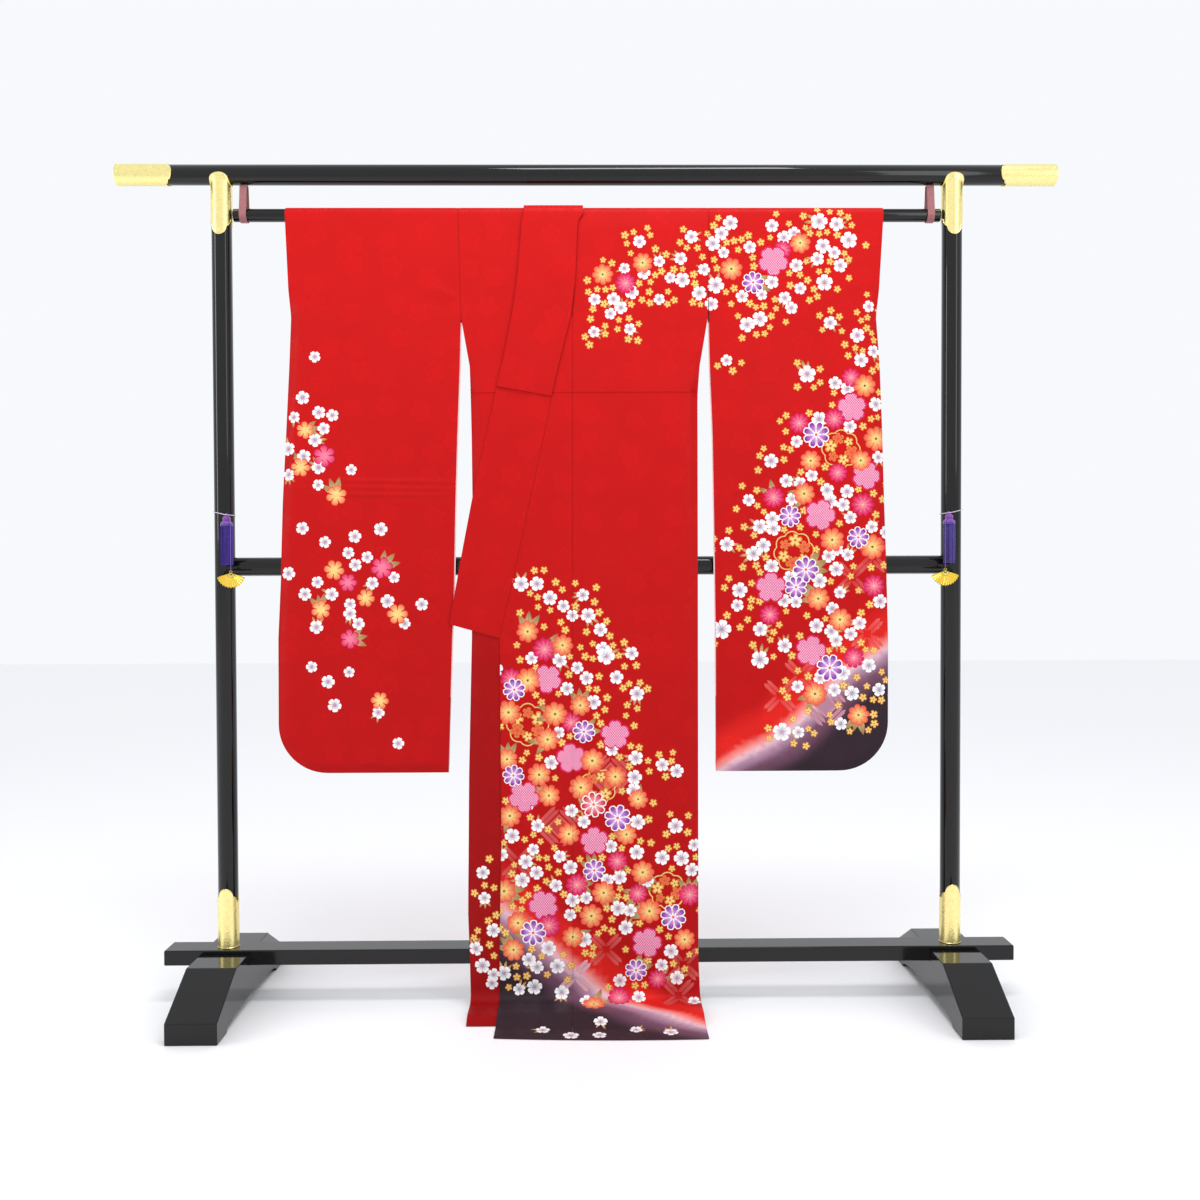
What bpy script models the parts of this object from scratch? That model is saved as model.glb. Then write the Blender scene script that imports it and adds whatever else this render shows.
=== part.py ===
"""A furisode, the long-sleeved kimono, hung on its lacquered stand.

Sizes are in millimetres, turned to metres as the meshes are made. X runs along the stand, the
garment's front faces -Y, and the feet stand on Z = 0 under the middle of the stand. Left and right
in the garment's names are the wearer's, so the left sleeve is at +X.
"""

from math import asin, atan2, cos, hypot, pi, radians, sin, sqrt

import bmesh
import bpy
from mathutils import Vector

MM = 0.001
GAP = 0.3
JOINT_GAP = 0.9

# The stand
STAND_WIDTH = 1830.0
RAIL_HEIGHT = 1616.5
RAIL_RADIUS = 19.5
CAP_LENGTH = 112.0
CAP_LOBE = 14.0
CAP_RADIUS = 20.6
CAP_END = 3.0
POST_X = 713.0
POST_RADIUS = 19.3
FITTING_WALL = 0.8
TOP_FITTING_TOP = 1596.2
TOP_FITTING_SIDE = 1527.0
TOP_FITTING_FOOT = 1497.0
FOOT_FITTING_TIP = 225.0
FOOT_FITTING_SIDE = 197.0
LOBE_SPREAD = radians(68)
MIDDLE_HEIGHT = 854.6
MIDDLE_RADIUS = 18.2
ROD_HEIGHT = 1538.3
ROD_RADIUS = 12.5
ROD_LENGTH = 1378.0
STRAP_X = 669.0
STRAP_WIDTH = 14.0
STRAP_WALL = 2.0
STRAP_TOP_HALF = 6.0
BEAM_LENGTH = 1662.0
BEAM_DEPTH = 58.0
BEAM_TOP = 107.2
BEAM_BOTTOM = 77.6
FOOT_WIDTH = 94.6
FOOT_LENGTH = 457.6
FOOT_TOP = 100.0
FOOT_FLAT = 220.0
TOE_HEIGHT = 39.5
TOE_PAD = 58.0
ARCH_HEIGHT = 18.0
BAR_SIDES = 24

# The tie cord, tassel and fan on each post
TASSEL_IN = 14.0
TASSEL_OUT = 33.5
TASSEL_HEIGHT = 954.5
TASSEL_LOCK_LENGTH = 76.0
KNOB_RADIUS = 2.5
TIE_RADIUS = 0.9
TIE_SLOPE = 0.22
STRING_RADIUS = 0.6
STRING_TURN = radians(44)
FAN_PIVOT = 841.5
FAN_RADIUS = 28.5
FAN_SPREAD = radians(74)
FAN_PLEATS = 13
FAN_WALL = 1.2
FAN_PLEAT_DEPTH = 0.7
FAN_HEAD = (7.0, 4.5)

# The cloth: walls, and how far apart the middles of two layers lie
SILK = 1.6
COLLAR = 2.2
OVER_COLLAR = 2.0
LINING = 1.0
LAYER = 2.4
OVER_LAYER = 2.5
PLEAT_LAYER = 2.6
ROD_FOLD = ROD_RADIUS + 0.5 + SILK / 2
SEAM = SILK + GAP
SEAM_EASE = 20.0

# How deep the cloth lies, as Y of the middle of its wall, at three heights
RAIL_LEVEL = 865.0
BEND_LEVEL = 36.0
FRONT_AT_RAIL = -34.6
FRONT_AT_BEND = -45.5
BACK_AT_RAIL = -19.6
BACK_AT_BEND = -31.5

# Heights at which every hanging panel has a row of points
LEVELS = (
    1520.0, 1460.0, 1406.0, 1336.0, 1243.0, 1183.0, 1110.0, 979.0, RAIL_LEVEL, 715.0,
    450.0, 180.0, 90.0, BEND_LEVEL,
)
NECKLINE = LEVELS[0]
COLLAR_FOOT = 715.0
OVER_COLLAR_FOOT = 1183.0

# Each table's rows run down the cloth: height, then X of the named edges
# (height, seam_x, free_height, free_x)
LEFT_COLLAR = (
    (ROD_HEIGHT, -9.5, ROD_HEIGHT, -124.8),
    (1520.0, -20.0, 1520.0, -129.0),
    (1460.0, -22.5, 1463.0, -133.0),
    (1406.0, -25.0, 1412.0, -137.5),
    (1336.0, -34.0, 1346.0, -147.0),
    (1243.0, -58.0, 1259.0, -164.0),
    (1183.0, -71.5, 1202.0, -178.0),
    (1110.0, -86.0, 1132.0, -193.0),
    (979.0, -115.0, 1004.0, -222.0),
    (RAIL_LEVEL, -139.5, 891.5, -243.7),
    (715.0, -174.0, 742.0, -271.0),
)
# (height, seam_x, free_x): the half-width strip under the left front
RIGHT_COLLAR = (
    (1460.0, -6.0, 50.0),
    (1406.0, -3.0, 53.0),
    (1336.0, 9.0, 64.0),
    (1243.0, 31.0, 86.0),
    (1183.0, 45.0, 100.0),
    (1110.0, 60.0, 115.0),
    (979.0, 90.0, 145.0),
    (RAIL_LEVEL, 115.5, 168.0),
    (715.0, 152.0, 186.0),
)
# (height, side_x, inner_x)
LEFT_FRONT = (
    (ROD_HEIGHT, 233.8, -9.2),
    (1520.0, 233.8, -19.7),
    (1460.0, 233.8, -22.2),
    (1406.0, 233.8, -24.7),
    (1336.0, 232.0, -31.0),
    (1243.0, 216.0, -31.0),
    (1183.0, 212.0, -31.2),
    (829.0, 211.0, -32.0),
    (90.0, 210.0, -34.0),
    (0.0, 213.0, -34.0),
)
RIGHT_FRONT = (
    (ROD_HEIGHT, -252.3, -11.0),
    (1520.0, -251.8, -23.0),
    (1460.0, -250.2, -6.3),
    (1406.0, -248.7, -3.3),
    (1336.0, -246.8, 6.0),
    (1243.0, -230.5, 6.0),
    (1110.0, -227.5, 6.0),
    (979.0, -226.0, 6.0),
    (715.0, -228.0, 6.0),
    (450.0, -234.5, 6.0),
    (180.0, -237.5, 6.0),
    (0.0, -231.5, 6.0),
)
# (height, free_x) below the collar's end
LEFT_OVERLAP = ((715.0, -173.4), (320.0, -171.7), (230.0, -173.9), (90.0, -176.4), (0.0, -176.0))
RIGHT_OVERLAP = ((715.0, 151.7), (0.0, 152.0))
# (height, inner_x, outer_x)
LEFT_SLEEVE = (
    (ROD_HEIGHT, 234.1, 575.4),
    (1336.0, 234.1, 562.2),
    (1243.0, 235.7, 568.5),
    (1110.0, 240.5, 572.5),
    (979.0, 242.3, 575.0),
    (829.0, 244.0, 579.0),
    (715.0, 245.5, 582.0),
    (453.0, 245.8, 582.4),
)
RIGHT_SLEEVE = (
    (ROD_HEIGHT, -252.6, -587.4),
    (1336.0, -247.1, -577.7),
    (1243.0, -249.5, -581.0),
    (1110.0, -254.5, -587.0),
    (979.0, -258.5, -593.3),
    (829.0, -261.5, -597.0),
    (715.0, -266.0, -603.0),
    (453.0, -274.6, -604.5),
)
SLEEVE_FOOT = 453.0
SLEEVE_CORNER = 95.0
CUFF_END = 1338.0
CUFF_EASE = 60.0
SIDE_OPENING_END = 1195.0
SIDE_EASE = 80.0

# The cloth on the floor: (Y, height) of each row past the bend, out to the hem
BACK_FLOOR = (
    ((-90.0, 1.6), (-112.0, 1.6)),
    ((-90.0, 5.0), (-112.0, 5.0)),
    ((-90.0, 8.6), (-112.0, 8.6)),
)
RIGHT_FLOOR = ((-90.0, 11.4), (-116.0, 11.4), (-149.0, 1.6))
LEFT_FLOOR = ((-90.0, 14.0), (-116.0, 14.0), (-152.0, 4.6), (-163.0, 1.6), (-212.0, 1.6))
LEFT_HEM_BOW = 7.0

# The pleat down the middle of the back: its fold and tip, and where the panels go round it
PLEAT_FOLD_X = -4.0
PLEAT_TIP_X = 81.0
PLEAT_RAMP = (-56.0, -11.0)
PLEAT_CLEAR = (88.0, 125.0)

COLLAR_SHARES = (0.0, 0.35, 0.7, 1.0)
NECK_TURN_WIDTH = 113.0
NECK_WIDTH = 57.0
SIDE_STEPS = (0.0, 7.0, 20.0)
SLEEVE_STEPS = (0.0, 7.0, 20.0, 45.0, 95.0)
SLEEVE_FOOT_SHARES = (0.0, 0.027, 0.077, 0.25, 0.5, 0.75)
LINING_TOP = 1300.0
LINING_FOOT = 600.0
LINING_SHOWS = 2.5


def clear_scene():
    for thing in list(bpy.data.objects):
        bpy.data.objects.remove(thing, do_unlink=True)


def finish(name, colour, roughness, metallic=0.0):
    material = bpy.data.materials.new(name)
    material.use_nodes = True
    shader = material.node_tree.nodes["Principled BSDF"]
    shader.inputs["Base Color"].default_value = (*colour, 1.0)
    shader.inputs["Roughness"].default_value = roughness
    shader.inputs["Metallic"].default_value = metallic
    material.diffuse_color = (*colour, 1.0)
    return material


def add_object(name, points, faces, material, smooth_angle=40):
    """A mesh object from points in millimetres."""
    mesh = bpy.data.meshes.new(name)
    mesh.from_pydata([tuple(c * MM for c in p) for p in points], [], faces)
    mesh.validate()
    piece = bpy.data.objects.new(name, mesh)
    bpy.context.collection.objects.link(piece)
    mesh.materials.append(material)
    face_outward(mesh)
    mesh.shade_smooth()
    mesh.set_sharp_from_angle(angle=radians(smooth_angle))
    return piece


def face_outward(mesh):
    sculpt = bmesh.new()
    sculpt.from_mesh(mesh)
    bmesh.ops.recalc_face_normals(sculpt, faces=sculpt.faces)
    sculpt.to_mesh(mesh)
    sculpt.free()


def ring_solid(name, rings, material, loop=False):
    """Joins rings of equal count. The ends close in a fan, or join each other in a loop."""
    count = len(rings[0])
    points = [p for ring in rings for p in ring]
    faces = []
    last = len(rings) if loop else len(rings) - 1
    for i in range(last):
        here = i * count
        there = ((i + 1) % len(rings)) * count
        for j in range(count):
            k = (j + 1) % count
            faces.append((here + j, here + k, there + k, there + j))
    if not loop:
        for first in (0, (len(rings) - 1) * count):
            ring = points[first:first + count]
            middle = tuple(sum(c) / count for c in zip(*ring))
            points.append(middle)
            for j in range(count):
                faces.append((first + j, first + (j + 1) % count, len(points) - 1))
    return add_object(name, points, faces, material)


def turn(count):
    return [2 * pi * j / count for j in range(count)]


def bar(name, axis, middle, radius, low, high, material):
    """A round bar along axis. low and high give its ends, which may depend on the offset in Y."""
    rings = []
    for end, shares in ((low, (0.15, 0.5, 0.8, 1.0)), (high, (1.0, 0.8, 0.5, 0.15))):
        for share in shares:
            ring = []
            for angle in turn(BAR_SIDES):
                across = share * radius * cos(angle)
                y = share * radius * sin(angle)
                along = end(y)
                if axis == "X":
                    ring.append((along, middle[1] + y, middle[2] + across))
                else:
                    ring.append((middle[0] + across, middle[1] + y, along))
            rings.append(ring)
    return ring_solid(name, rings, material)


def flat_end(value):
    return lambda y: value


def saddle_end(place, radius, side):
    """An end that hugs a round bar at place, from the side that side points to."""
    return lambda y: place + side * sqrt((radius + JOINT_GAP) ** 2 - y * y)


def lobe(angle):
    """1 at the front and back of a fitting, falling to 0 in a round arch at its sides."""
    off = abs((angle + pi / 2) % pi - pi / 2)
    return sqrt(max(0.0, 1 - (off / LOBE_SPREAD) ** 2))


def fitting(name, x_middle, low, high, material):
    """A gilt sheet round a post. low and high give its edges for an angle, 0 at the front."""
    rings = []
    for radius, shares in (
        (POST_RADIUS + GAP + FITTING_WALL, (0.0, 0.5, 1.0)),
        (POST_RADIUS + GAP, (1.0, 0.5, 0.0)),
    ):
        for share in shares:
            ring = []
            for angle in turn(28):
                height = low(angle) + share * (high(angle) - low(angle))
                ring.append((x_middle + radius * sin(angle), -radius * cos(angle), height))
            rings.append(ring)
    return ring_solid(name, rings, material, loop=True)


def rail_cap(name, side, material):
    """A gilt cup over the rail's end, with a lobed edge on its front and back."""
    outer_end = STAND_WIDTH / 2
    inner_end = outer_end - CAP_END
    edge = outer_end - CAP_LENGTH
    rings = []
    inner = RAIL_RADIUS + GAP
    for radius, places in (
        (CAP_RADIUS * 0.6, (outer_end,)),
        (CAP_RADIUS - 0.8, (outer_end,)),
        (CAP_RADIUS, (outer_end - 0.8, None)),
        (inner, (None, inner_end)),
        (inner * 0.6, (inner_end,)),
    ):
        for place in places:
            ring = []
            for angle in turn(BAR_SIDES):
                x = edge + CAP_LOBE * (1 - lobe(angle)) if place is None else place
                ring.append((side * x, -radius * cos(angle), RAIL_HEIGHT + radius * sin(angle)))
            rings.append(ring)
    return ring_solid(name, rings, material)


def closed_sweep(name, path, section, across, material):
    """Carries section, as (out, across) pairs, round a closed path of points."""
    rings = []
    count = len(path)
    for i, point in enumerate(path):
        along = (Vector(path[(i + 1) % count]) - Vector(path[i - 1])).normalized()
        out = along.cross(Vector(across)).normalized()
        side = out.cross(along).normalized()
        rings.append([tuple(Vector(point) + a * out + b * side) for a, b in section])
    return ring_solid(name, rings, material, loop=True)


def round_section(radius, sides):
    return [(radius * cos(a), radius * sin(a)) for a in turn(sides)]


def strap(name, x_middle, material):
    """A flat loop round the hanging rod, drawn in to the rail's underside."""
    radius = ROD_RADIUS + GAP + STRAP_WALL / 2
    top = RAIL_HEIGHT - RAIL_RADIUS - GAP - STRAP_WALL / 2
    path = []
    for step in range(13):
        angle = pi + pi * step / 12
        path.append((x_middle, radius * cos(angle), ROD_HEIGHT + radius * sin(angle)))
    path += [
        (x_middle, STRAP_TOP_HALF, top - 3),
        (x_middle, STRAP_TOP_HALF - 2, top),
        (x_middle, 2 - STRAP_TOP_HALF, top),
        (x_middle, -STRAP_TOP_HALF, top - 3),
    ]
    wall, half = STRAP_WALL / 2, STRAP_WIDTH / 2
    section = [(-wall, -half), (wall, -half), (wall, half), (-wall, half)]
    return closed_sweep(name, path, section, (1, 0, 0), material)


def foot(name, side, material):
    """A foot sawn from a plank, notched for the beam and arched underneath."""
    toe = FOOT_LENGTH / 2
    notch = BEAM_DEPTH / 2 + GAP
    arch = toe - TOE_PAD
    half = [(toe, 0.0), (toe, TOE_HEIGHT), (FOOT_FLAT / 2, FOOT_TOP)]
    half += [(notch, FOOT_TOP), (notch, BEAM_BOTTOM - GAP)]
    outline = half + [(-y, z) for y, z in reversed(half)]
    steps = 10
    for step in range(steps + 1):
        y = -arch * cos(pi * step / steps)
        outline.append((y, ARCH_HEIGHT * sin(pi * step / steps) ** 0.7 if 0 < step < steps else 0.0))
    x = side * POST_X
    points = [(x - FOOT_WIDTH / 2, y, z) for y, z in outline]
    points += [(x + FOOT_WIDTH / 2, y, z) for y, z in outline]
    count = len(outline)
    faces = [tuple(range(count)), tuple(range(2 * count - 1, count - 1, -1))]
    faces += [(i, (i + 1) % count, count + (i + 1) % count, count + i) for i in range(count)]
    piece = add_object(name, points, faces, material, 30)
    soften_edges(piece, 2.0)
    return piece


def beam(name, material):
    x, y = BEAM_LENGTH / 2, BEAM_DEPTH / 2
    points = [(sx * x, sy * y, z) for z in (BEAM_BOTTOM, BEAM_TOP) for sx, sy in
              ((-1, -1), (1, -1), (1, 1), (-1, 1))]
    faces = [(0, 3, 2, 1), (4, 5, 6, 7)]
    faces += [(i, (i + 1) % 4, 4 + (i + 1) % 4, 4 + i) for i in range(4)]
    piece = add_object(name, points, faces, material, 30)
    soften_edges(piece, 3.0)
    return piece


def soften_edges(piece, width):
    bevel = piece.modifiers.new("edges", "BEVEL")
    bevel.width = width * MM
    bevel.segments = 1
    bevel.limit_method = "ANGLE"
    bevel.angle_limit = radians(30)


def tassel_axis(side):
    return (side * (POST_X - TASSEL_IN), -TASSEL_OUT)


def tie_cord(name, side, material):
    """A cord round the post and the tassel's knob, as a belt round two wheels, tied aslant."""
    knob = tassel_axis(side)
    post_x = side * POST_X
    big = POST_RADIUS + GAP + TIE_RADIUS
    small = KNOB_RADIUS + GAP + TIE_RADIUS
    dx, dy = knob[0] - post_x, knob[1]
    reach = hypot(dx, dy)
    lean = asin((big - small) / reach)
    heading = atan2(dy, dx)
    spread = pi / 2 - lean
    path = []
    for middle, radius, start, sweep, steps in (
        (knob, small, heading - spread, 2 * spread, 6),
        ((post_x, 0.0), big, heading + spread, 2 * pi - 2 * spread, 18),
    ):
        for step in range(steps + 1):
            angle = start + sweep * step / steps
            x = middle[0] + radius * cos(angle)
            y = middle[1] + radius * sin(angle)
            path.append((x, y, TASSEL_HEIGHT + TIE_SLOPE * max(0.0, side * (x - knob[0]))))
    return closed_sweep(name, path, round_section(TIE_RADIUS, 6), (0, 0, 1), material)


# The tassel's head: radius and height from the tie cord, from its top to the root of its locks
TASSEL_HEAD = (
    (1.2, 3.4), (KNOB_RADIUS, 2.4), (KNOB_RADIUS, -1.4), (4.4, -2.6), (7.2, -5.0), (7.8, -8.5),
    (6.3, -11.5), (9.4, -13.5), (11.8, -17.5), (12.2, -21.5),
)
TASSEL_ROOTS = (8.2, 4.2)
TASSEL_SIDES = 10


def tassel(name, side, material):
    """A head with its locks, each lock drawn down from its own face of the head's underside."""
    x, y = tassel_axis(side)
    rings = []
    foot_height = TASSEL_HEAD[-1][1]
    for radius, height in TASSEL_HEAD + tuple((r, foot_height) for r in TASSEL_ROOTS):
        rings.append([(x + radius * cos(a), y + radius * sin(a), TASSEL_HEIGHT + height)
                      for a in turn(TASSEL_SIDES)])
    piece = ring_solid(name, rings, material)
    sculpt = bmesh.new()
    sculpt.from_mesh(piece.data)
    root = (TASSEL_HEIGHT + foot_height) * MM
    under = [f for f in sculpt.faces if all(abs(v.co.z - root) < 1e-5 for v in f.verts)]
    middle = [f for f in under if len(f.verts) == 3]
    under = [f for f in under if len(f.verts) == 4]
    joined = bmesh.ops.dissolve_faces(sculpt, faces=middle)
    under += joined["region"]
    bmesh.ops.inset_individual(sculpt, faces=under, thickness=0.4 * MM)
    for drop, shrink in ((TASSEL_LOCK_LENGTH * 0.55, 1.0), (TASSEL_LOCK_LENGTH * 0.45, 0.75)):
        under = bmesh.ops.extrude_discrete_faces(sculpt, faces=under)["faces"]
        for face in under:
            centre = face.calc_center_median()
            for corner in face.verts:
                corner.co = centre + (corner.co - centre) * shrink
                corner.co.z -= drop * MM
    bmesh.ops.recalc_face_normals(sculpt, faces=sculpt.faces)
    sculpt.to_mesh(piece.data)
    sculpt.free()
    piece.data.shade_smooth()
    piece.data.set_sharp_from_angle(angle=radians(40))
    return piece


# The fan's string: how far from the tassel's axis, and how far below the tie cord
STRING_ROUTE = (
    (5.7, -0.3), (6.9, 1.8), (8.6, 4.5), (9.8, 8.0), (11.2, 12.5), (13.2, 17.0), (13.9, 23.0),
)


def string_point(side, out, down):
    x, y = tassel_axis(side)
    return (x - side * out * cos(STRING_TURN), y - out * sin(STRING_TURN), TASSEL_HEIGHT - down)


def fan_place(side):
    out = STRING_ROUTE[-1][0]
    return string_point(side, out, TASSEL_HEIGHT - FAN_PIVOT)


def smooth_route(points, steps):
    """A smooth curve through points, as steps short runs between each two."""
    route = []
    for i in range(len(points) - 1):
        a, b, c, d = (Vector(points[min(max(i + k, 0), len(points) - 1)]) for k in (-1, 0, 1, 2))
        for step in range(steps):
            t = step / steps
            route.append(0.5 * ((2 * b) + (c - a) * t + (2 * a - 5 * b + 4 * c - d) * t * t
                                + (3 * b - a - 3 * c + d) * t ** 3))
    route.append(Vector(points[-1]))
    return route


def fan_string(name, side, material):
    points = [string_point(side, out, down) for out, down in STRING_ROUTE]
    x, y, pivot = fan_place(side)
    foot_height = pivot + FAN_HEAD[1] + GAP
    start = points[-1][2]
    points += [(x, y, start + (foot_height - start) * k / 6) for k in range(1, 7)]
    route = smooth_route(points, 2)
    curve = bpy.data.curves.new(name, "CURVE")
    curve.dimensions = "3D"
    curve.bevel_depth = STRING_RADIUS * MM
    curve.bevel_resolution = 1
    curve.use_fill_caps = True
    spline = curve.splines.new("POLY")
    spline.points.add(len(route) - 1)
    for place, point in zip(spline.points, route):
        place.co = (*(c * MM for c in point), 1.0)
    curve.materials.append(material)
    piece = bpy.data.objects.new(name, curve)
    bpy.context.collection.objects.link(piece)
    return piece


def fan(name, side, material):
    """A folding fan, open and pointing down from a small round head, with raised pleats."""
    x, y, pivot = fan_place(side)
    angles = [-FAN_SPREAD + FAN_SPREAD * k / FAN_PLEATS for k in range(2 * FAN_PLEATS + 1)]
    rest = 8
    angles += [FAN_SPREAD + (2 * pi - 2 * FAN_SPREAD) * k / rest for k in range(1, rest)]
    points = [(x, y, pivot)]
    faces = []
    count = len(angles)
    for share in (0.55, 1.0):
        for angle in angles:
            points.append((x + share * FAN_HEAD[0] * sin(angle), y, pivot - share * FAN_HEAD[1] * cos(angle)))
    for j in range(count):
        k = (j + 1) % count
        faces.append((0, 1 + j, 1 + k))
        faces.append((1 + j, 1 + count + j, 1 + count + k, 1 + k))
    previous = [1 + count + j for j in range(2 * FAN_PLEATS + 1)]
    for share in (0.62, 1.0):
        ring = []
        for j, angle in enumerate(angles[:2 * FAN_PLEATS + 1]):
            radius = FAN_RADIUS * share * (1.0 if j % 2 else 0.94)
            raised = FAN_PLEAT_DEPTH * (1 if j % 2 else -1)
            ring.append(len(points))
            points.append((x + radius * sin(angle), y - raised, pivot - radius * cos(angle)))
        faces += [(previous[j], ring[j], ring[j + 1], previous[j + 1]) for j in range(2 * FAN_PLEATS)]
        previous = ring
    piece = add_object(name, points, faces, material)
    thicken(piece, FAN_WALL)
    return piece


def thicken(piece, wall):
    shell = piece.modifiers.new("wall", "SOLIDIFY")
    shell.thickness = wall * MM
    shell.offset = 0.0


def between(table, level, column):
    """Reads a column of a table at a level. The rows run downwards."""
    if level >= table[0][0]:
        return table[0][column]
    for upper, lower in zip(table, table[1:]):
        if level >= lower[0]:
            share = (upper[0] - level) / (upper[0] - lower[0])
            return upper[column] + share * (lower[column] - upper[column])
    return table[-1][column]


def ease(share):
    share = min(max(share, 0.0), 1.0)
    return share * share * (3 - 2 * share)


def line_y(level, at_rod, at_rail, at_bend):
    """Y of a hanging layer, straight from the rod to the middle rail and on to the floor bend."""
    if level >= RAIL_LEVEL:
        share = (ROD_HEIGHT - level) / (ROD_HEIGHT - RAIL_LEVEL)
        return at_rod + min(max(share, 0.0), 1.0) * (at_rail - at_rod)
    share = (RAIL_LEVEL - level) / (RAIL_LEVEL - BEND_LEVEL)
    return at_rail + min(share, 1.0) * (at_bend - at_rail)


def front_y(level):
    return line_y(level, -ROD_FOLD, FRONT_AT_RAIL, FRONT_AT_BEND)


def over_front_y(level):
    """The left front lies a layer proud of the right one, from just below the rod."""
    return front_y(level) - LAYER * min(max((ROD_HEIGHT - level) / (ROD_HEIGHT - NECKLINE), 0.0), 1.0)


def back_y(level):
    return line_y(level, ROD_FOLD, BACK_AT_RAIL, BACK_AT_BEND)


def pleat_y(level, layers):
    """The back's folded layers, counted from the one that is outermost behind."""
    outermost = line_y(level, ROD_FOLD + 2 * PLEAT_LAYER, BACK_AT_RAIL, BACK_AT_BEND)
    return outermost - layers * PLEAT_LAYER


def sleeve_front_y(level):
    return line_y(level, -ROD_FOLD, FRONT_AT_RAIL, FRONT_AT_RAIL + 2)


def sleeve_back_y(level):
    return line_y(level, ROD_FOLD, BACK_AT_RAIL, BACK_AT_RAIL)


def rod_arc(radius, side, steps=4):
    """(Y, Z) from the top of the rod to the level where the cloth leaves it, the top left out."""
    arc = []
    for step in range(1, steps + 1):
        angle = pi / 2 * step / steps
        arc.append((side * radius * sin(angle), ROD_HEIGHT + radius * cos(angle)))
    return arc


def floor_rows(start_y, floor):
    """(Y, Z) round the bend at the floor and out to the hem, along the rows of a floor table."""
    radius = BEND_LEVEL - floor[0][1]
    rows = []
    for angle in (pi / 6, pi / 3, pi / 2):
        rows.append((start_y - radius * (1 - cos(angle)), BEND_LEVEL - radius * sin(angle)))
    return rows + list(floor)


def grid_sheet(name, rows, material, wall):
    """A wall of cloth from rows of points. A missing point is None, and leaves out its faces."""
    index = {}
    points = []
    for i, row in enumerate(rows):
        for j, point in enumerate(row):
            if point is not None:
                index[i, j] = len(points)
                points.append(point)
    faces = []
    for i in range(len(rows) - 1):
        for j in range(len(rows[0]) - 1):
            corners = ((i, j), (i, j + 1), (i + 1, j + 1), (i + 1, j))
            if all(c in index for c in corners):
                faces.append(tuple(index[c] for c in corners))
    piece = add_object(name, points, faces, material)
    thicken(piece, wall)
    return piece


def columns(edge, other, near_edge, count):
    """X places from edge to other, with near_edge giving the first distances from edge."""
    side = 1 if other > edge else -1
    places = [edge + side * d for d in near_edge]
    start = places[-1]
    return places + [start + (other - start) * k / count for k in range(1, count + 1)]


def pinched(y, partner, distance, weight):
    """Draws a layer to its partner's seam as the edge comes near, leaving the seam's own gap."""
    middle = (y + partner) / 2
    half = abs(y - partner) / 2
    at_edge = min(SEAM / 2, half)
    depth = at_edge + (half - at_edge) * ease(distance / SEAM_EASE)
    depth = half + weight * (depth - half)
    return middle + (depth if y > partner else -depth)


def side_weight(level):
    """How far the side seam is closed: open under the armhole, and again where the hem spreads."""
    closed = ease((SIDE_OPENING_END + SIDE_EASE - level) / SIDE_EASE)
    return closed * ease((level - BEND_LEVEL) / 60)


def body_front_rows(table, front, floor, bow):
    """Rows of a front panel from its hem up to the rod, its last row on the rod's top."""
    rows = []
    start = front(BEND_LEVEL)
    for y, z in reversed(floor_rows(start, floor)):
        side_x, inner_x = between(table, z, 1), between(table, z, 2)
        reach = (start - y) / (start - floor[-1][0])
        middle, half = (side_x + inner_x) / 2, 200.0
        rows.append([(x, y - bow * reach * (1 - ((x - middle) / half) ** 2), z)
                     for x in columns(side_x, inner_x, SIDE_STEPS, 3)])
    for level in reversed(LEVELS):
        side_x, inner_x = between(table, level, 1), between(table, level, 2)
        rows.append([
            (x, pinched(front(level), back_y(level), abs(x - side_x), side_weight(level)), level)
            for x in columns(side_x, inner_x, SIDE_STEPS, 3)
        ])
    for y, z in list(reversed(rod_arc(ROD_FOLD, -1))) + [(0.0, ROD_HEIGHT + ROD_FOLD)]:
        rows.append([(x, y, z) for x in columns(table[0][1], table[0][2], SIDE_STEPS, 3)])
    return rows


def body_back_rows(table, places, depth, front, floor, spare):
    """Rows of a back panel from the rod down. places(side_x) gives its columns, and depth its Y."""
    rows = []
    for y, z in rod_arc(ROD_FOLD, 1):
        rows.append([(x, y, z) for x in columns(table[0][1], table[0][2], SIDE_STEPS, 3)]
                    + [None] * spare)
    for level in LEVELS:
        side_x = between(table, level, 1)
        row = []
        for x, layer in places(side_x):
            y = pinched(depth(x, level, layer), front(level), abs(x - side_x), side_weight(level))
            row.append((x, y, level))
        rows.append(row)
    bend_rows = {}
    for x, layer in places(table[-1][1]):
        start = depth(x, BEND_LEVEL, layer)
        bend_rows[x, layer] = floor_rows(start, floor(layer))
    for k in range(len(floor_rows(0.0, floor(0)))):
        rows.append([(x, *bend_rows[x, layer][k]) for x, layer in places(table[-1][1])])
    return rows


def right_back_depth(x, level, layer=0):
    """The right back panel, which passes outside the pleat."""
    share = min(max((x - PLEAT_RAMP[0]) / (PLEAT_RAMP[1] - PLEAT_RAMP[0]), 0.0), 1.0)
    return back_y(level) + share * (pleat_y(level, 0) - back_y(level))


def left_back_depth(x, level, layer):
    """The left back panel: under the pleat its layer 2, the pleat's own fold, and its layer 1."""
    if layer == 2:
        share = min(max((PLEAT_CLEAR[1] - x) / (PLEAT_CLEAR[1] - PLEAT_CLEAR[0]), 0.0), 1.0)
        return back_y(level) + share * (pleat_y(level, 2) - back_y(level))
    return pleat_y(level, layer)


def right_back_places(side_x):
    places = columns(side_x, PLEAT_RAMP[0], SIDE_STEPS, 2) + [PLEAT_RAMP[1]]
    places += [PLEAT_FOLD_X + (PLEAT_TIP_X - PLEAT_FOLD_X) * k / 3 for k in (1, 2, 3)]
    return [(x, 0) for x in places]


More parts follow.
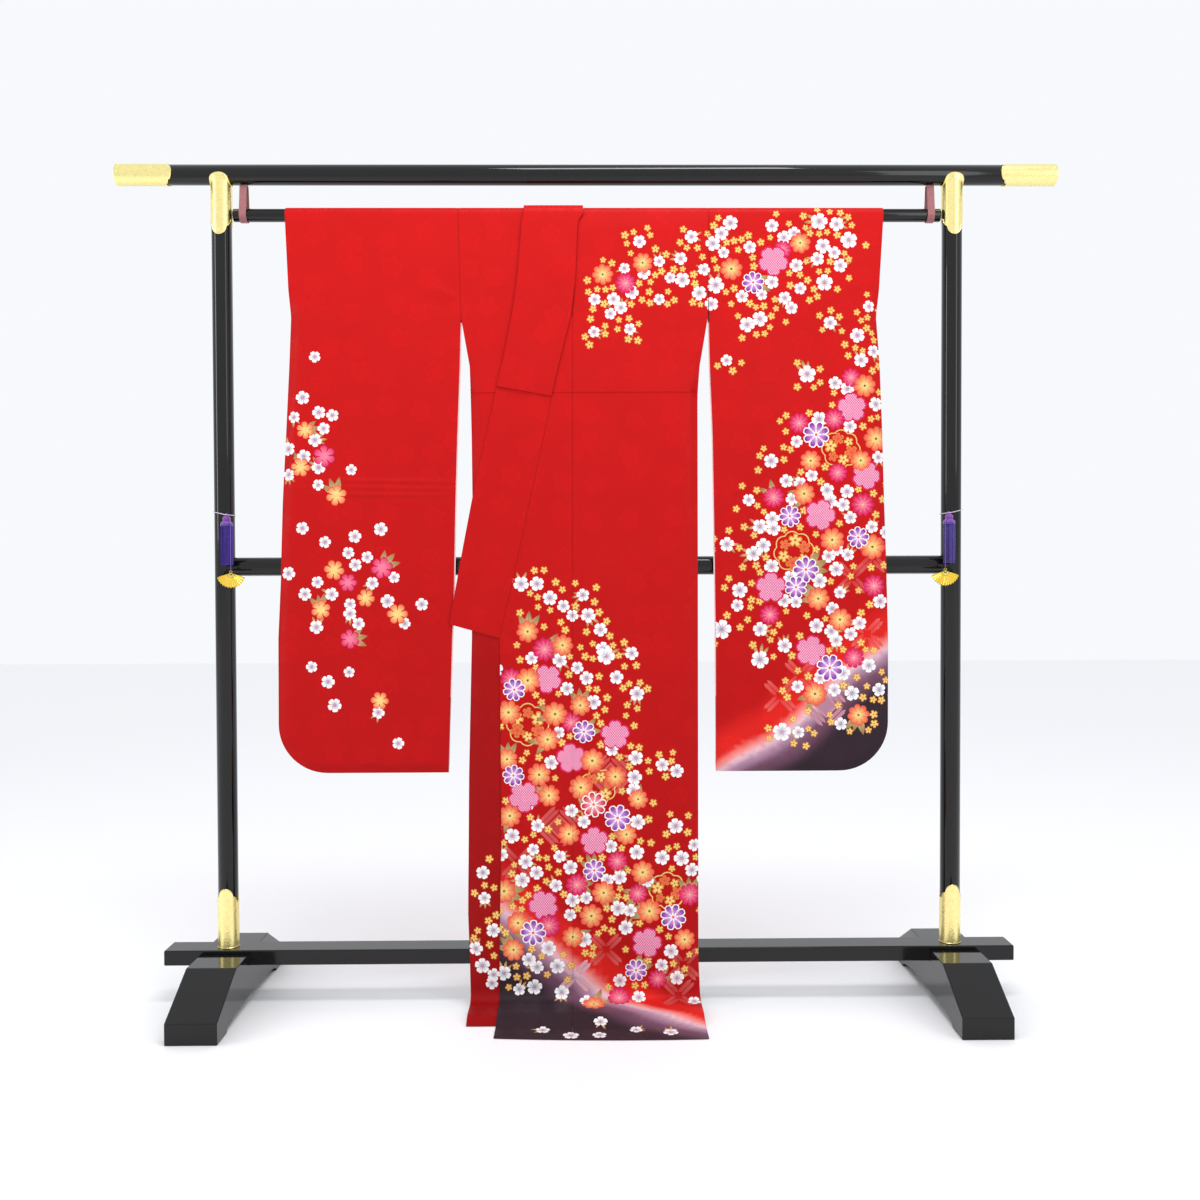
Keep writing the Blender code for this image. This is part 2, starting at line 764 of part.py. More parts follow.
def left_back_places(side_x):
    places = [(x, 2) for x in columns(side_x, PLEAT_CLEAR[1], SIDE_STEPS, 1)]
    places += [(PLEAT_CLEAR[0], 2), ((PLEAT_CLEAR[0] + PLEAT_FOLD_X) / 2, 2), (PLEAT_FOLD_X, 2)]
    places += [(PLEAT_FOLD_X - PLEAT_LAYER / 2, 1.5)]
    places += [(PLEAT_FOLD_X + (PLEAT_TIP_X - PLEAT_FOLD_X) * k / 3, 1) for k in range(4)]
    return places


def body_right(material):
    rows = [row + [None] * 3 for row in body_front_rows(RIGHT_FRONT, front_y, RIGHT_FLOOR, 0.0)]
    rows += body_back_rows(RIGHT_FRONT, right_back_places, right_back_depth, front_y,
                           lambda layer: BACK_FLOOR[0], 3)
    return grid_sheet("body_right", rows, material, SILK)


def body_left(material):
    rows = [row + [None] * 5
            for row in body_front_rows(LEFT_FRONT, over_front_y, LEFT_FLOOR, LEFT_HEM_BOW)]
    rows += body_back_rows(LEFT_FRONT, left_back_places, left_back_depth, over_front_y,
                           pleat_floor, 5)
    return grid_sheet("body_left", rows, material, SILK)


def pleat_floor(layer):
    """The floor rows of a pleat layer. The fold between layers 1 and 2 lies between them."""
    low, high = BACK_FLOOR[1], BACK_FLOOR[2]
    share = layer - 1
    return tuple((a[0], a[1] + share * (b[1] - a[1])) for a, b in zip(low, high))


def overlap(name, seam_table, seam_column, free_table, front_table, front, floor, bow, material):
    """A front overlap: from its tip at the collar down to the hem."""
    side = 1 if free_table[0][1] > 0 else -1
    tip = 1336.0
    rows = []
    start = front(BEND_LEVEL)
    middle = sum(front_table[-1][1:]) / 2

    def edges(level):
        seam = between(front_table, level, 2) + side * GAP
        if level >= COLLAR_FOOT:
            return seam, between(seam_table, level, seam_column) - side * GAP
        return seam, between(free_table, level, 1)

    for y, z in reversed(floor_rows(start, floor)):
        reach = (start - y) / (start - floor[-1][0])
        low, high = edges(z)
        rows.append([(x, y - bow * reach * (1 - ((x - middle) / 200.0) ** 2), z)
                     for x in columns(low, high, (0.0,), 3)])
    for level in reversed([level for level in LEVELS if level <= tip]):
        low, high = edges(level)
        rows.append([(x, front(level), level) for x in columns(low, high, (0.0,), 3)])
    return grid_sheet(name, rows, material, SILK)


def back_collar_rows(table, out):
    """The collar behind the neck: it turns off the rod and runs along the neckline to the pleat."""
    turn_x, turn_z = table[0][1], NECKLINE + 4
    rows = []
    for step in range(6):
        angle = pi + pi / 2 * step / 5
        wide = NECK_TURN_WIDTH + (NECK_WIDTH - NECK_TURN_WIDTH) * ease(step / 5)
        row = []
        for share in COLLAR_SHARES:
            radius = 2 + share * wide
            x, z = turn_x + radius * cos(angle), turn_z + radius * sin(angle)
            row.append((x, pleat_y(z, 0) + out, z))
        rows.append(row)
    for x in (20.0, 51.0, PLEAT_TIP_X):
        heights = [turn_z - 2 - share * NECK_WIDTH for share in COLLAR_SHARES]
        rows.append([(x, pleat_y(z, 0) + out, z) for z in heights])
    return rows


def left_collar(name, foot_level, out, wall, material):
    """The left collar, or the strip on it: from its foot up over the rod and round the neck."""
    rows = []
    for level, seam_x, free_z, free_x in reversed(LEFT_COLLAR[1:]):
        if level < foot_level:
            continue
        row = []
        for share in COLLAR_SHARES:
            x, z = seam_x + share * (free_x - seam_x), level + share * (free_z - level)
            row.append((x, front_y(z) - out, z))
        rows.append(row)
    seam_x, free_x = LEFT_COLLAR[0][1], LEFT_COLLAR[0][3]
    radius = ROD_FOLD + out
    for y, z in (list(reversed(rod_arc(radius, -1))) + [(0.0, ROD_HEIGHT + radius)]
                 + rod_arc(radius, 1)):
        rows.append([(seam_x + share * (free_x - seam_x), y, z) for share in COLLAR_SHARES])
    rows += back_collar_rows(LEFT_COLLAR, out)
    return grid_sheet(name, rows, material, wall)


def right_collar(material):
    """The half-width strip under the left front."""
    rows = []
    for level, seam_x, free_x in reversed(RIGHT_COLLAR):
        rows.append([(seam_x + share * (free_x - seam_x), front_y(level + share * 12), level + share * 12)
                     for share in (0.0, 0.5, 1.0)])
    return grid_sheet("collar_right", rows, material, COLLAR)


def sleeve(name, table, material):
    """A sleeve folded over the rod, its layers drawn together at the outer seam and the foot."""
    side = 1 if table[0][1] > 0 else -1
    low = COLLAR_FOOT

    def foot_of(x, outer_x):
        inside = SLEEVE_CORNER - abs(outer_x - x)
        if inside <= 0:
            return SLEEVE_FOOT
        return SLEEVE_FOOT + SLEEVE_CORNER - sqrt(SLEEVE_CORNER ** 2 - inside ** 2)

    def from_edge(x, z, outer_x):
        across, above = abs(outer_x - x), z - SLEEVE_FOOT
        if across < SLEEVE_CORNER and above < SLEEVE_CORNER:
            return SLEEVE_CORNER - hypot(SLEEVE_CORNER - across, SLEEVE_CORNER - above)
        return min(across, above)

    def hanging_row(z_of, own, partner):
        row = []
        inner_x, outer_x = (between(table, z_of(None), c) for c in (1, 2))
        for x in columns(outer_x, inner_x, SLEEVE_STEPS, 2):
            z = z_of((x, outer_x))
            closed = ease((CUFF_END + CUFF_EASE - z) / CUFF_EASE)
            row.append((x, pinched(own(z), partner(z), from_edge(x, z, outer_x), closed), z))
        return row

    def foot_row(share):
        def z_of(place):
            if place is None:
                return SLEEVE_FOOT
            foot_z = foot_of(*place)
            return foot_z + share * (low - foot_z)
        return z_of

    half = [foot_row(share) for share in SLEEVE_FOOT_SHARES]
    half += [lambda place, z=level: z for level in reversed(LEVELS) if level >= low]
    rows = [hanging_row(z_of, sleeve_front_y, sleeve_back_y) for z_of in half]
    for y, z in (list(reversed(rod_arc(ROD_FOLD, -1))) + [(0.0, ROD_HEIGHT + ROD_FOLD)]
                 + rod_arc(ROD_FOLD, 1)):
        rows.append([(x, y, z) for x in columns(table[0][2], table[0][1], SLEEVE_STEPS, 2)])
    rows += [hanging_row(z_of, sleeve_back_y, sleeve_front_y) for z_of in reversed(half)]
    assert side * rows[0][0][0] > 0
    return grid_sheet(name, rows, material, SILK)


def sleeve_lining(name, table, material):
    """The pale lining that shows along the open inner edge of a sleeve's front."""
    toward_body = -1 if table[0][1] > 0 else 1
    rows = []
    for level in LEVELS:
        if not LINING_FOOT <= level <= LINING_TOP:
            continue
        edge = between(table, level, 1) + toward_body * LINING_SHOWS
        y = sleeve_front_y(level) + SILK / 2 + GAP + LINING / 2
        rows.append([(edge - toward_body * d, y, level) for d in (0.0, 9.0, 18.0)])
    return grid_sheet(name, rows, material, LINING)


def build_stand():
    lacquer = finish("black_lacquer", (0.012, 0.012, 0.014), 0.15)
    gilt = finish("gilt_brass", (0.72, 0.51, 0.18), 0.3, 1.0)
    webbing = finish("strap_webbing", (0.30, 0.10, 0.10), 0.6)
    pale_cord = finish("pale_cord", (0.62, 0.56, 0.60), 0.7)
    tassel_silk = finish("tassel_silk", (0.09, 0.03, 0.38), 0.6)
    rail_end = STAND_WIDTH / 2 - CAP_END - GAP
    rail = (0.0, 0.0, RAIL_HEIGHT)
    bar("top_rail", "X", rail, RAIL_RADIUS, flat_end(-rail_end), flat_end(rail_end), lacquer)
    bar("middle_rail", "X", (0.0, 0.0, MIDDLE_HEIGHT), MIDDLE_RADIUS,
        saddle_end(-POST_X, POST_RADIUS, 1), saddle_end(POST_X, POST_RADIUS, -1), lacquer)
    bar("hanging_rod", "X", (0.0, 0.0, ROD_HEIGHT), ROD_RADIUS,
        flat_end(-ROD_LENGTH / 2), flat_end(ROD_LENGTH / 2), lacquer)
    beam("base_beam", lacquer)
    for side, word in ((-1, "left"), (1, "right")):
        x = side * POST_X
        bar(f"post_{word}", "Z", (x, 0.0, 0.0), POST_RADIUS, flat_end(BEAM_TOP + GAP),
            saddle_end(RAIL_HEIGHT, RAIL_RADIUS, -1), lacquer)
        foot(f"foot_{word}", side, lacquer)
        rail_cap(f"rail_cap_{word}", side, gilt)
        fitting(
            f"top_fitting_{word}", x,
            lambda a: TOP_FITTING_SIDE + (TOP_FITTING_FOOT - TOP_FITTING_SIDE) * lobe(a),
            lambda a: TOP_FITTING_TOP, gilt,
        )
        fitting(
            f"foot_fitting_{word}", x, lambda a: BEAM_TOP + GAP,
            lambda a: FOOT_FITTING_SIDE + (FOOT_FITTING_TIP - FOOT_FITTING_SIDE) * lobe(a), gilt,
        )
        strap(f"strap_{word}", side * STRAP_X, webbing)
        tie_cord(f"tie_cord_{word}", side, pale_cord)
        tassel(f"tassel_{word}", side, tassel_silk)
        fan_string(f"fan_string_{word}", side, pale_cord)
        fan(f"fan_{word}", side, gilt)


def build_kimono():
    silk = finish("red_silk", (0.60, 0.02, 0.015), 0.5)
    lining = finish("pale_lining", (0.85, 0.62, 0.62), 0.6)
    body_right(silk)
    body_left(silk)
    overlap("overlap_right", RIGHT_COLLAR, 1, RIGHT_OVERLAP, RIGHT_FRONT, front_y, RIGHT_FLOOR,
            0.0, silk)
    overlap("overlap_left", LEFT_COLLAR, 1, LEFT_OVERLAP, LEFT_FRONT, over_front_y, LEFT_FLOOR,
            LEFT_HEM_BOW, silk)
    left_collar("collar_left", COLLAR_FOOT, LAYER, COLLAR, silk)
    right_collar(silk)
    left_collar("over_collar", OVER_COLLAR_FOOT, LAYER + OVER_LAYER, OVER_COLLAR, silk)
    sleeve("sleeve_right", RIGHT_SLEEVE, silk)
    sleeve("sleeve_left", LEFT_SLEEVE, silk)
    sleeve_lining("lining_right", RIGHT_SLEEVE, lining)
    sleeve_lining("lining_left", LEFT_SLEEVE, lining)


clear_scene()
build_stand()
build_kimono()
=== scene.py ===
"""The looks of the furisode on its lacquered stand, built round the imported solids.

Sizes are in millimetres, turned to metres as meshes are made. X runs along the stand, the garment's
front faces -Y, and left and right in the garment's names are the wearer's.
"""

from collections import namedtuple
from math import asin, atan2, cos, hypot, pi, radians, sin, sqrt
from random import Random

import bmesh
import bpy
import numpy as np
from mathutils import Matrix, Vector
from mathutils.geometry import delaunay_2d_cdt


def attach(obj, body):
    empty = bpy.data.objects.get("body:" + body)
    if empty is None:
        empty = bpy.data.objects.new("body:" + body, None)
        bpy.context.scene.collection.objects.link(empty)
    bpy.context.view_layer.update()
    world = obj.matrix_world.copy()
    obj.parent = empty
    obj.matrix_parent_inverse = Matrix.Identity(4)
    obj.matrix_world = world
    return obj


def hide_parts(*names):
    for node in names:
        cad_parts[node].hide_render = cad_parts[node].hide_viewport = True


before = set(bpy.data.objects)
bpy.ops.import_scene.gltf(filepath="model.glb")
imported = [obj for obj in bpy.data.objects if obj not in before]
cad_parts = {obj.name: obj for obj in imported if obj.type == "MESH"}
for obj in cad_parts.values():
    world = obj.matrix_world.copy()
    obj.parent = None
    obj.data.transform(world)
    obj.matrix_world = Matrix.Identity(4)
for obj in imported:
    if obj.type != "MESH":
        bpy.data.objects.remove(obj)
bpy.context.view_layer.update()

MM = 0.001
GAP = 0.3

# The stand
STAND_WIDTH = 1830.0
RAIL_HEIGHT = 1616.5
RAIL_RADIUS = 19.5
CAP_LENGTH = 112.0
CAP_LOBE = 14.0
CAP_RADIUS = 20.6
POST_X = 713.0
POST_RADIUS = 19.3
MIDDLE_HEIGHT = 854.6
MIDDLE_RADIUS = 18.2
ROD_HEIGHT = 1538.3
ROD_RADIUS = 12.5
ROD_LENGTH = 1378.0
STRAP_X = 669.0
BEAM_LENGTH = 1662.0
BEAM_DEPTH = 58.0
BEAM_TOP = 107.2
BEAM_BOTTOM = 77.6
FOOT_WIDTH = 94.6
FOOT_LENGTH = 457.6
FOOT_TOP = 100.0
FOOT_FLAT = 220.0
TOE_HEIGHT = 39.5
TOE_PAD = 58.0
ARCH_HEIGHT = 18.0
ARCH_STEPS = 24

# The tassels, their cords and the fans
TASSEL_IN = 14.0
TASSEL_OUT = 33.5
TASSEL_HEIGHT = 954.5
TASSEL_LOCK_LENGTH = 76.0
KNOB_RADIUS = 2.5
TIE_RADIUS = 0.9
TIE_SLOPE = 0.22
STRING_RADIUS = 0.6
STRING_TURN = radians(44)
FAN_PIVOT = 841.5
FAN_RADIUS = 28.5
FAN_SPREAD = radians(74)
FAN_HEAD = (7.0, 4.5)

# The cloth's layers, as in the solids
SILK = 1.6
LAYER = 2.4
OVER_LAYER = 2.5
PLEAT_LAYER = 2.6
ROD_FOLD = ROD_RADIUS + 0.5 + SILK / 2
SEAM = SILK + GAP
SEAM_EASE = 20.0
RAIL_LEVEL = 865.0
BEND_LEVEL = 36.0
FRONT_AT_RAIL = -34.6
FRONT_AT_BEND = -45.5
BACK_AT_RAIL = -19.6
BACK_AT_BEND = -31.5
NECKLINE = 1520.0
COLLAR_FOOT = 715.0

# Each table's rows run down the cloth: height, then X of the named edges
# (height, seam_x, free_height, free_x)
LEFT_COLLAR = (
    (ROD_HEIGHT, -9.5, ROD_HEIGHT, -124.8),
    (1520.0, -20.0, 1520.0, -129.0),
    (1460.0, -22.5, 1463.0, -133.0),
    (1406.0, -25.0, 1412.0, -137.5),
    (1336.0, -34.0, 1346.0, -147.0),
    (1243.0, -58.0, 1259.0, -164.0),
    (1183.0, -71.5, 1202.0, -178.0),
    (1110.0, -86.0, 1132.0, -193.0),
    (979.0, -115.0, 1004.0, -222.0),
    (RAIL_LEVEL, -139.5, 891.5, -243.7),
    (715.0, -174.0, 742.0, -271.0),
)
# (height, seam_x, free_x)
RIGHT_COLLAR = (
    (1460.0, -6.0, 50.0),
    (1406.0, -3.0, 53.0),
    (1336.0, 9.0, 64.0),
    (1243.0, 31.0, 86.0),
    (1183.0, 45.0, 100.0),
    (1110.0, 60.0, 115.0),
    (979.0, 90.0, 145.0),
    (RAIL_LEVEL, 115.5, 168.0),
    (715.0, 152.0, 186.0),
)
# (height, side_x, inner_x)
LEFT_FRONT = (
    (ROD_HEIGHT, 233.8, -9.2),
    (1520.0, 233.8, -19.7),
    (1460.0, 233.8, -22.2),
    (1406.0, 233.8, -24.7),
    (1336.0, 232.0, -31.0),
    (1243.0, 216.0, -31.0),
    (1183.0, 212.0, -31.2),
    (829.0, 211.0, -32.0),
    (90.0, 210.0, -34.0),
    (0.0, 213.0, -34.0),
)
RIGHT_FRONT = (
    (ROD_HEIGHT, -252.3, -11.0),
    (1520.0, -251.8, -23.0),
    (1460.0, -250.2, -6.3),
    (1406.0, -248.7, -3.3),
    (1336.0, -246.8, 6.0),
    (1243.0, -230.5, 6.0),
    (1110.0, -227.5, 6.0),
    (979.0, -226.0, 6.0),
    (715.0, -228.0, 6.0),
    (450.0, -234.5, 6.0),
    (180.0, -237.5, 6.0),
    (0.0, -231.5, 6.0),
)
# (height, free_x) below the collar's end
LEFT_OVERLAP = ((715.0, -173.4), (320.0, -171.7), (230.0, -173.9), (90.0, -176.4), (0.0, -176.0))
RIGHT_OVERLAP = ((715.0, 151.7), (0.0, 152.0))
# (height, inner_x, outer_x)
LEFT_SLEEVE = (
    (ROD_HEIGHT, 234.1, 575.4),
    (1336.0, 234.1, 562.2),
    (1243.0, 235.7, 568.5),
    (1110.0, 240.5, 572.5),
    (979.0, 242.3, 575.0),
    (829.0, 244.0, 579.0),
    (715.0, 245.5, 582.0),
    (453.0, 245.8, 582.4),
)
RIGHT_SLEEVE = (
    (ROD_HEIGHT, -252.6, -587.4),
    (1336.0, -247.1, -577.7),
    (1243.0, -249.5, -581.0),
    (1110.0, -254.5, -587.0),
    (979.0, -258.5, -593.3),
    (829.0, -261.5, -597.0),
    (715.0, -266.0, -603.0),
    (453.0, -274.6, -604.5),
)
SLEEVE_FOOT = 453.0
SLEEVE_CORNER = 95.0
CUFF_END = 1338.0
CUFF_EASE = 60.0
SIDE_OPENING_END = 1195.0
SIDE_EASE = 80.0

# The cloth on the floor: (Y, height) past the bend, out to the hem
BACK_FLOOR = (
    ((-90.0, 1.6), (-112.0, 1.6)),
    ((-90.0, 5.0), (-112.0, 5.0)),
    ((-90.0, 8.6), (-112.0, 8.6)),
)
RIGHT_FLOOR = ((-90.0, 11.4), (-116.0, 11.4), (-149.0, 1.6))
LEFT_FLOOR = ((-90.0, 14.0), (-116.0, 14.0), (-152.0, 4.6), (-163.0, 1.6), (-212.0, 1.6))
# How far the left hem's middle bows forward, and half the width of the bow
LEFT_HEM_BOW = 7.0
BOW_HALF_WIDTH = 200.0
# The heights over which folds die out above the floor bend and beside the stand's bars
HEM_EASE = 60.0
BAR_EASE = 60.0

# The pleat down the middle of the back, and the collar's turn round the neck
PLEAT_FOLD_X = -4.0
PLEAT_TIP_X = 81.0
PLEAT_RAMP = (-56.0, -11.0)
PLEAT_CLEAR = (88.0, 125.0)
NECK_TURN_WIDTH = 113.0
NECK_TURN_Z = NECKLINE + 4
NECK_WIDTH = 57.0
NECK_ARC = 60.0
NECK_INSIDE = 2

# Where the overlap ends and the over-collar starts, and the widths of the narrow cuts
OVERLAP_TIP = 1336.0
OVER_COLLAR_FOOT = 1183.0
COLLAR_CUT = 113.0
RIGHT_COLLAR_CUT = 55.0
RIGHT_COLLAR_RISE = 12
LINING_SHOWS = 2.5
LINING_WALL = 1.0
LINING_STRIP = 18.0
LINING_LEVELS = (600.0, 1326.0)

# Steps between a cut's rows: where it hangs, where it bends or turns, over the rod, round the neck
# and along the neck's band
ROW = 13.0
BEND_ROW = 6.0
ROD_ROW = 3.4
NECK_ROW = 4.0
BAND_ROW = 10.0

# The drawn cloth: its wall, the hollow and the painted shade along its edges, and the painted shade on
# its rim
WALL = 1.0
SEAM_HOLLOW = 0.35
HOLLOW_WIDTH = 7.0
SEAM_SHADE = 0.08
SHADE_WIDTH = 3.0
RIM_SHADE = 0.9
FLAT = "flat"


def linear(*screen):
    """An 8-bit screen colour as linear light."""
    return tuple(c / 255 / 12.92 if c <= 10 else ((c / 255 + 0.055) / 1.055) ** 2.4 for c in screen)


def node(tree, kind, inputs=None, **settings):
    """Adds a shader node. inputs maps a socket to a value or to another node's output."""
    made = tree.nodes.new("ShaderNode" + kind)
    for key, value in settings.items():
        setattr(made, key, value)
    for key, value in (inputs or {}).items():
        if isinstance(value, bpy.types.NodeSocket):
            tree.links.new(value, made.inputs[key])
        else:
            made.inputs[key].default_value = value
    return made


def calc(tree, operation, *values):
    return node(tree, "Math", dict(enumerate(values)), operation=operation).outputs[0]


def scaled(tree, value, by, plus):
    return calc(tree, "MULTIPLY_ADD", value, by, plus)


def ramp(tree, value, low, high):
    """0 below low and 1 above high, smooth between them."""
    return node(tree, "MapRange", {0: value, 1: low, 2: high, 3: 0.0, 4: 1.0},
                interpolation_type="SMOOTHSTEP", clamp=True).outputs[0]


def noise(tree, place, scale, detail=2.0, **settings):
    return node(tree, "TexNoise", {"Vector": place, "Scale": scale, "Detail": detail}, **settings)


def vector(tree, operation, *values):
    return node(tree, "VectorMath", dict(enumerate(values)), operation=operation).outputs[0]


def attribute(tree, word, output="Fac"):
    return node(tree, "Attribute", attribute_name=word).outputs[output]


def one_colour(tree, colour):
    made = node(tree, "RGB").outputs[0]
    made.default_value = (*colour, 1.0)
    return made


def mix(tree, share, first, colour):
    return node(tree, "Mix", {0: share, 6: first, 7: (*colour, 1.0)}, data_type="RGBA").outputs[2]


def feed(tree, value, shader, socket):
    tree.links.new(value, shader.inputs[socket])


def shade_colour(tree, shader, colour, shade):
    """Feeds the shader a colour times a shade."""
    feed(tree, node(tree, "VectorMath", {0: colour, "Scale": shade}, operation="SCALE").outputs[0],
         shader, "Base Color")


def preset(shader, **values):
    """Sets sockets that are named by words joined with underscores."""
    for words, value in values.items():
        shader.inputs[words.replace("_", " ")].default_value = value


def blank(name, colour, roughness, metallic=0.0):
    material = bpy.data.materials.new(name)
    material.use_nodes = True
    tree = material.node_tree
    shader = tree.nodes["Principled BSDF"]
    preset(shader, Base_Color=(*colour, 1.0), Roughness=roughness, Metallic=metallic)
    material.diffuse_color = (*colour, 1.0)
    return material, tree, shader


def bump(tree, shader, height, strength, distance):
    made = node(tree, "Bump", {"Height": height, "Strength": strength, "Distance": distance})
    feed(tree, made.outputs[0], shader, "Normal")


# The tie-dyed knots' pitch in metres, and the slant of their rows
KNOT_PITCH = 0.0046
KNOT_SLANT = 0.85
# The woven figures to a metre of silk
FIGURES = 15.0


def knotted(tree, dye, flat):
    """Tie-dyed knots: slanting rows of tiny pale squares, each with a darker eye."""
    parts = node(tree, "SeparateXYZ", {0: flat})
    off = []
    for slant in (KNOT_SLANT, -KNOT_SLANT):
        slanted = scaled(tree, parts.outputs[1], slant, parts.outputs[0])
        cell = calc(tree, "FRACT", calc(tree, "MULTIPLY", slanted, 1 / KNOT_PITCH))
        off.append(calc(tree, "ABSOLUTE", calc(tree, "SUBTRACT", cell, 0.5)))
    away = calc(tree, "MAXIMUM", *off)
    square = calc(tree, "SUBTRACT", 1.0, ramp(tree, away, 0.27, 0.36))
    eye = calc(tree, "SUBTRACT", 1.0, ramp(tree, away, 0.04, 0.14))
    square = calc(tree, "MULTIPLY", square, scaled(tree, eye, -0.6, 1.0))
    return mix(tree, calc(tree, "MULTIPLY", attribute(tree, "knots"), square), dye,
               linear(236, 190, 208))


def woven(name, colour=None):
    """Figured silk crepe. With no colour it takes its dye and its gilding from the mesh."""
    material, tree, shader = blank(name, colour or linear(200, 24, 26), 0.5)
    flat = node(tree, "UVMap", uv_map=FLAT).outputs[0]
    stretched = vector(tree, "MULTIPLY", flat, (420.0, 950.0, 1.0))
    crepe = noise(tree, stretched, 1.0, noise_dimensions="2D").outputs[0]
    mottle = noise(tree, flat, 11.0, 3.0, noise_dimensions="2D").outputs[0]
    cells = node(tree, "TexVoronoi", {"Vector": flat, "Scale": FIGURES, "Randomness": 0.6},
                 voronoi_dimensions="2D")
    local = vector(tree, "SUBTRACT", flat, cells.outputs["Position"])
    parts = node(tree, "SeparateXYZ", {0: local})
    turned = calc(tree, "ARCTAN2", parts.outputs[1], parts.outputs[0])
    spin = node(tree, "SeparateColor", {0: cells.outputs["Color"]}).outputs[0]
    wave = calc(tree, "ABSOLUTE", calc(tree, "COSINE", scaled(
        tree, turned, 2.5, calc(tree, "MULTIPLY", spin, 6.0))))
    away = node(tree, "VectorMath", {0: local}, operation="LENGTH").outputs["Value"]
    edge = calc(tree, "SUBTRACT", scaled(tree, wave, 0.13, 0.2),
                calc(tree, "MULTIPLY", away, FIGURES))
    figure = calc(tree, "SUBTRACT", ramp(tree, edge, 0.0, 0.03),
                  calc(tree, "MULTIPLY", ramp(tree, edge, 0.05, 0.08), 0.6))
    shade = scaled(tree, figure, 0.09, scaled(tree, mottle, 0.1, 0.95))
    if colour is None:
        gilt = attribute(tree, "gilt")
        dye = knotted(tree, attribute(tree, "dye", "Color"), flat)
        feed(tree, calc(tree, "MULTIPLY", gilt, 0.85), shader, "Metallic")
        rough = scaled(tree, gilt, -0.2, 0.52)
    else:
        dye = one_colour(tree, colour)
        rough = 0.54
    shade_colour(tree, shader, dye, shade)
    feed(tree, scaled(tree, figure, -0.09, rough), shader, "Roughness")
    preset(shader, Sheen_Weight=0.025, Sheen_Roughness=0.4, Specular_IOR_Level=0.1)
    bump(tree, shader, scaled(tree, figure, 0.25, crepe), 0.3, 0.0003)
    return material


def lacquered():
    """Black lacquer, polished, with the faint unevenness of brushed coats."""
    material, tree, shader = blank("black_lacquer", linear(12, 11, 12), 0.1)
    preset(shader, Specular_IOR_Level=0.38)
    place = node(tree, "TexCoord").outputs["Object"]
    coats = noise(tree, place, 35.0).outputs[0]
    dust = noise(tree, place, 300.0).outputs[0]
    feed(tree, scaled(tree, ramp(tree, dust, 0.55, 0.8), 0.12, 0.09), shader, "Roughness")
    bump(tree, shader, coats, 0.15, 0.0006)
    return material


def gilded(name, engraved=True):
    """Gilt brass sheet with engraved scrolls on a punched ground."""
    material, tree, shader = blank(name, linear(248, 222, 110), 0.3, 1.0)
    place = node(tree, "TexCoord").outputs["Object"]
    cloudy = noise(tree, place, 60.0, 3.0)
    feed(tree, scaled(tree, cloudy.outputs[0], 0.16, 0.2), shader, "Roughness")
    if not engraved:
        stretched = vector(tree, "MULTIPLY", place, (1500.0, 1500.0, 90.0))
        bump(tree, shader, noise(tree, stretched, 1.0).outputs[0], 0.25, 0.0003)
        return material
    bent = vector(tree, "MULTIPLY_ADD", cloudy.outputs[1], (0.012, 0.012, 0.012), place)
    scroll = node(tree, "TexVoronoi", {"Vector": bent, "Scale": 85.0}, feature="DISTANCE_TO_EDGE")
    line = ramp(tree, scroll.outputs["Distance"], 0.02, 0.1)
    curl = calc(tree, "ABSOLUTE", calc(tree, "SINE", calc(
        tree, "MULTIPLY", scroll.outputs["Distance"], 26.0)))
    dots = node(tree, "TexVoronoi", {"Vector": place, "Scale": 560.0, "Randomness": 0.3})
    ground = ramp(tree, dots.outputs["Distance"], 0.15, 0.4)
    height = calc(tree, "ADD", calc(tree, "MULTIPLY", line, 1.2), calc(tree, "MULTIPLY", curl, 0.7))
    height = calc(tree, "ADD", height, calc(tree, "MULTIPLY", ground, 0.25))
    shade_colour(tree, shader, one_colour(tree, linear(252, 236, 160)),
                 scaled(tree, ramp(tree, height, 0.4, 1.6), 0.1, 0.92))
    bump(tree, shader, height, 0.15, 0.0004)
    return material


def threaded(name, colour, across, roughness=0.6, headed=None):
    """Twisted or banded thread, with its lines at a slant to the piece's length. headed gives a
    height and the colour above it."""
    material, tree, shader = blank(name, colour, roughness)
    place = node(tree, "TexCoord").outputs["Object"]
    lines = node(tree, "TexWave", {"Vector": place, "Scale": across, "Distortion": 1.5},
                 bands_direction="DIAGONAL").outputs["Fac"]
    tone = one_colour(tree, colour)
    if headed:
        height = node(tree, "SeparateXYZ", {0: place}).outputs[2]
        above = ramp(tree, height, headed[0] - 0.002, headed[0] + 0.002)
        tone = mix(tree, above, tone, headed[1])
    shade_colour(tree, shader, tone, scaled(tree, lines, 0.5, 0.7))
    preset(shader, Sheen_Weight=0.3)
    bump(tree, shader, lines, 0.5, 0.0003)
    return material


def add_object(name, data):
    made = bpy.data.objects.new(name, data)
    bpy.context.scene.collection.objects.link(made)
    return made


def add_mesh(name, points, faces, material, smooth=35.0):
    """A mesh object from points in millimetres."""
    mesh = bpy.data.meshes.new(name)
    mesh.from_pydata([tuple(c * MM for c in p) for p in points], [], faces)
    piece = add_object(name, mesh)
    mesh.materials.append(material)
    sculpt = bmesh.new()
    sculpt.from_mesh(mesh)
    bmesh.ops.recalc_face_normals(sculpt, faces=sculpt.faces)
    sculpt.to_mesh(mesh)
    sculpt.free()
    mesh.shade_smooth()
    mesh.set_sharp_from_angle(angle=radians(smooth))
    return piece


def show(piece, slot, *nodes):
    """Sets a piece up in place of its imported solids."""
    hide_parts(*nodes)
    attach(piece, "root")
    return piece


def turn(count):
    return [2 * pi * j / count for j in range(count)]


def polar(centre, reach, angle):
    return centre[0] + reach * cos(angle), centre[1] + reach * sin(angle)


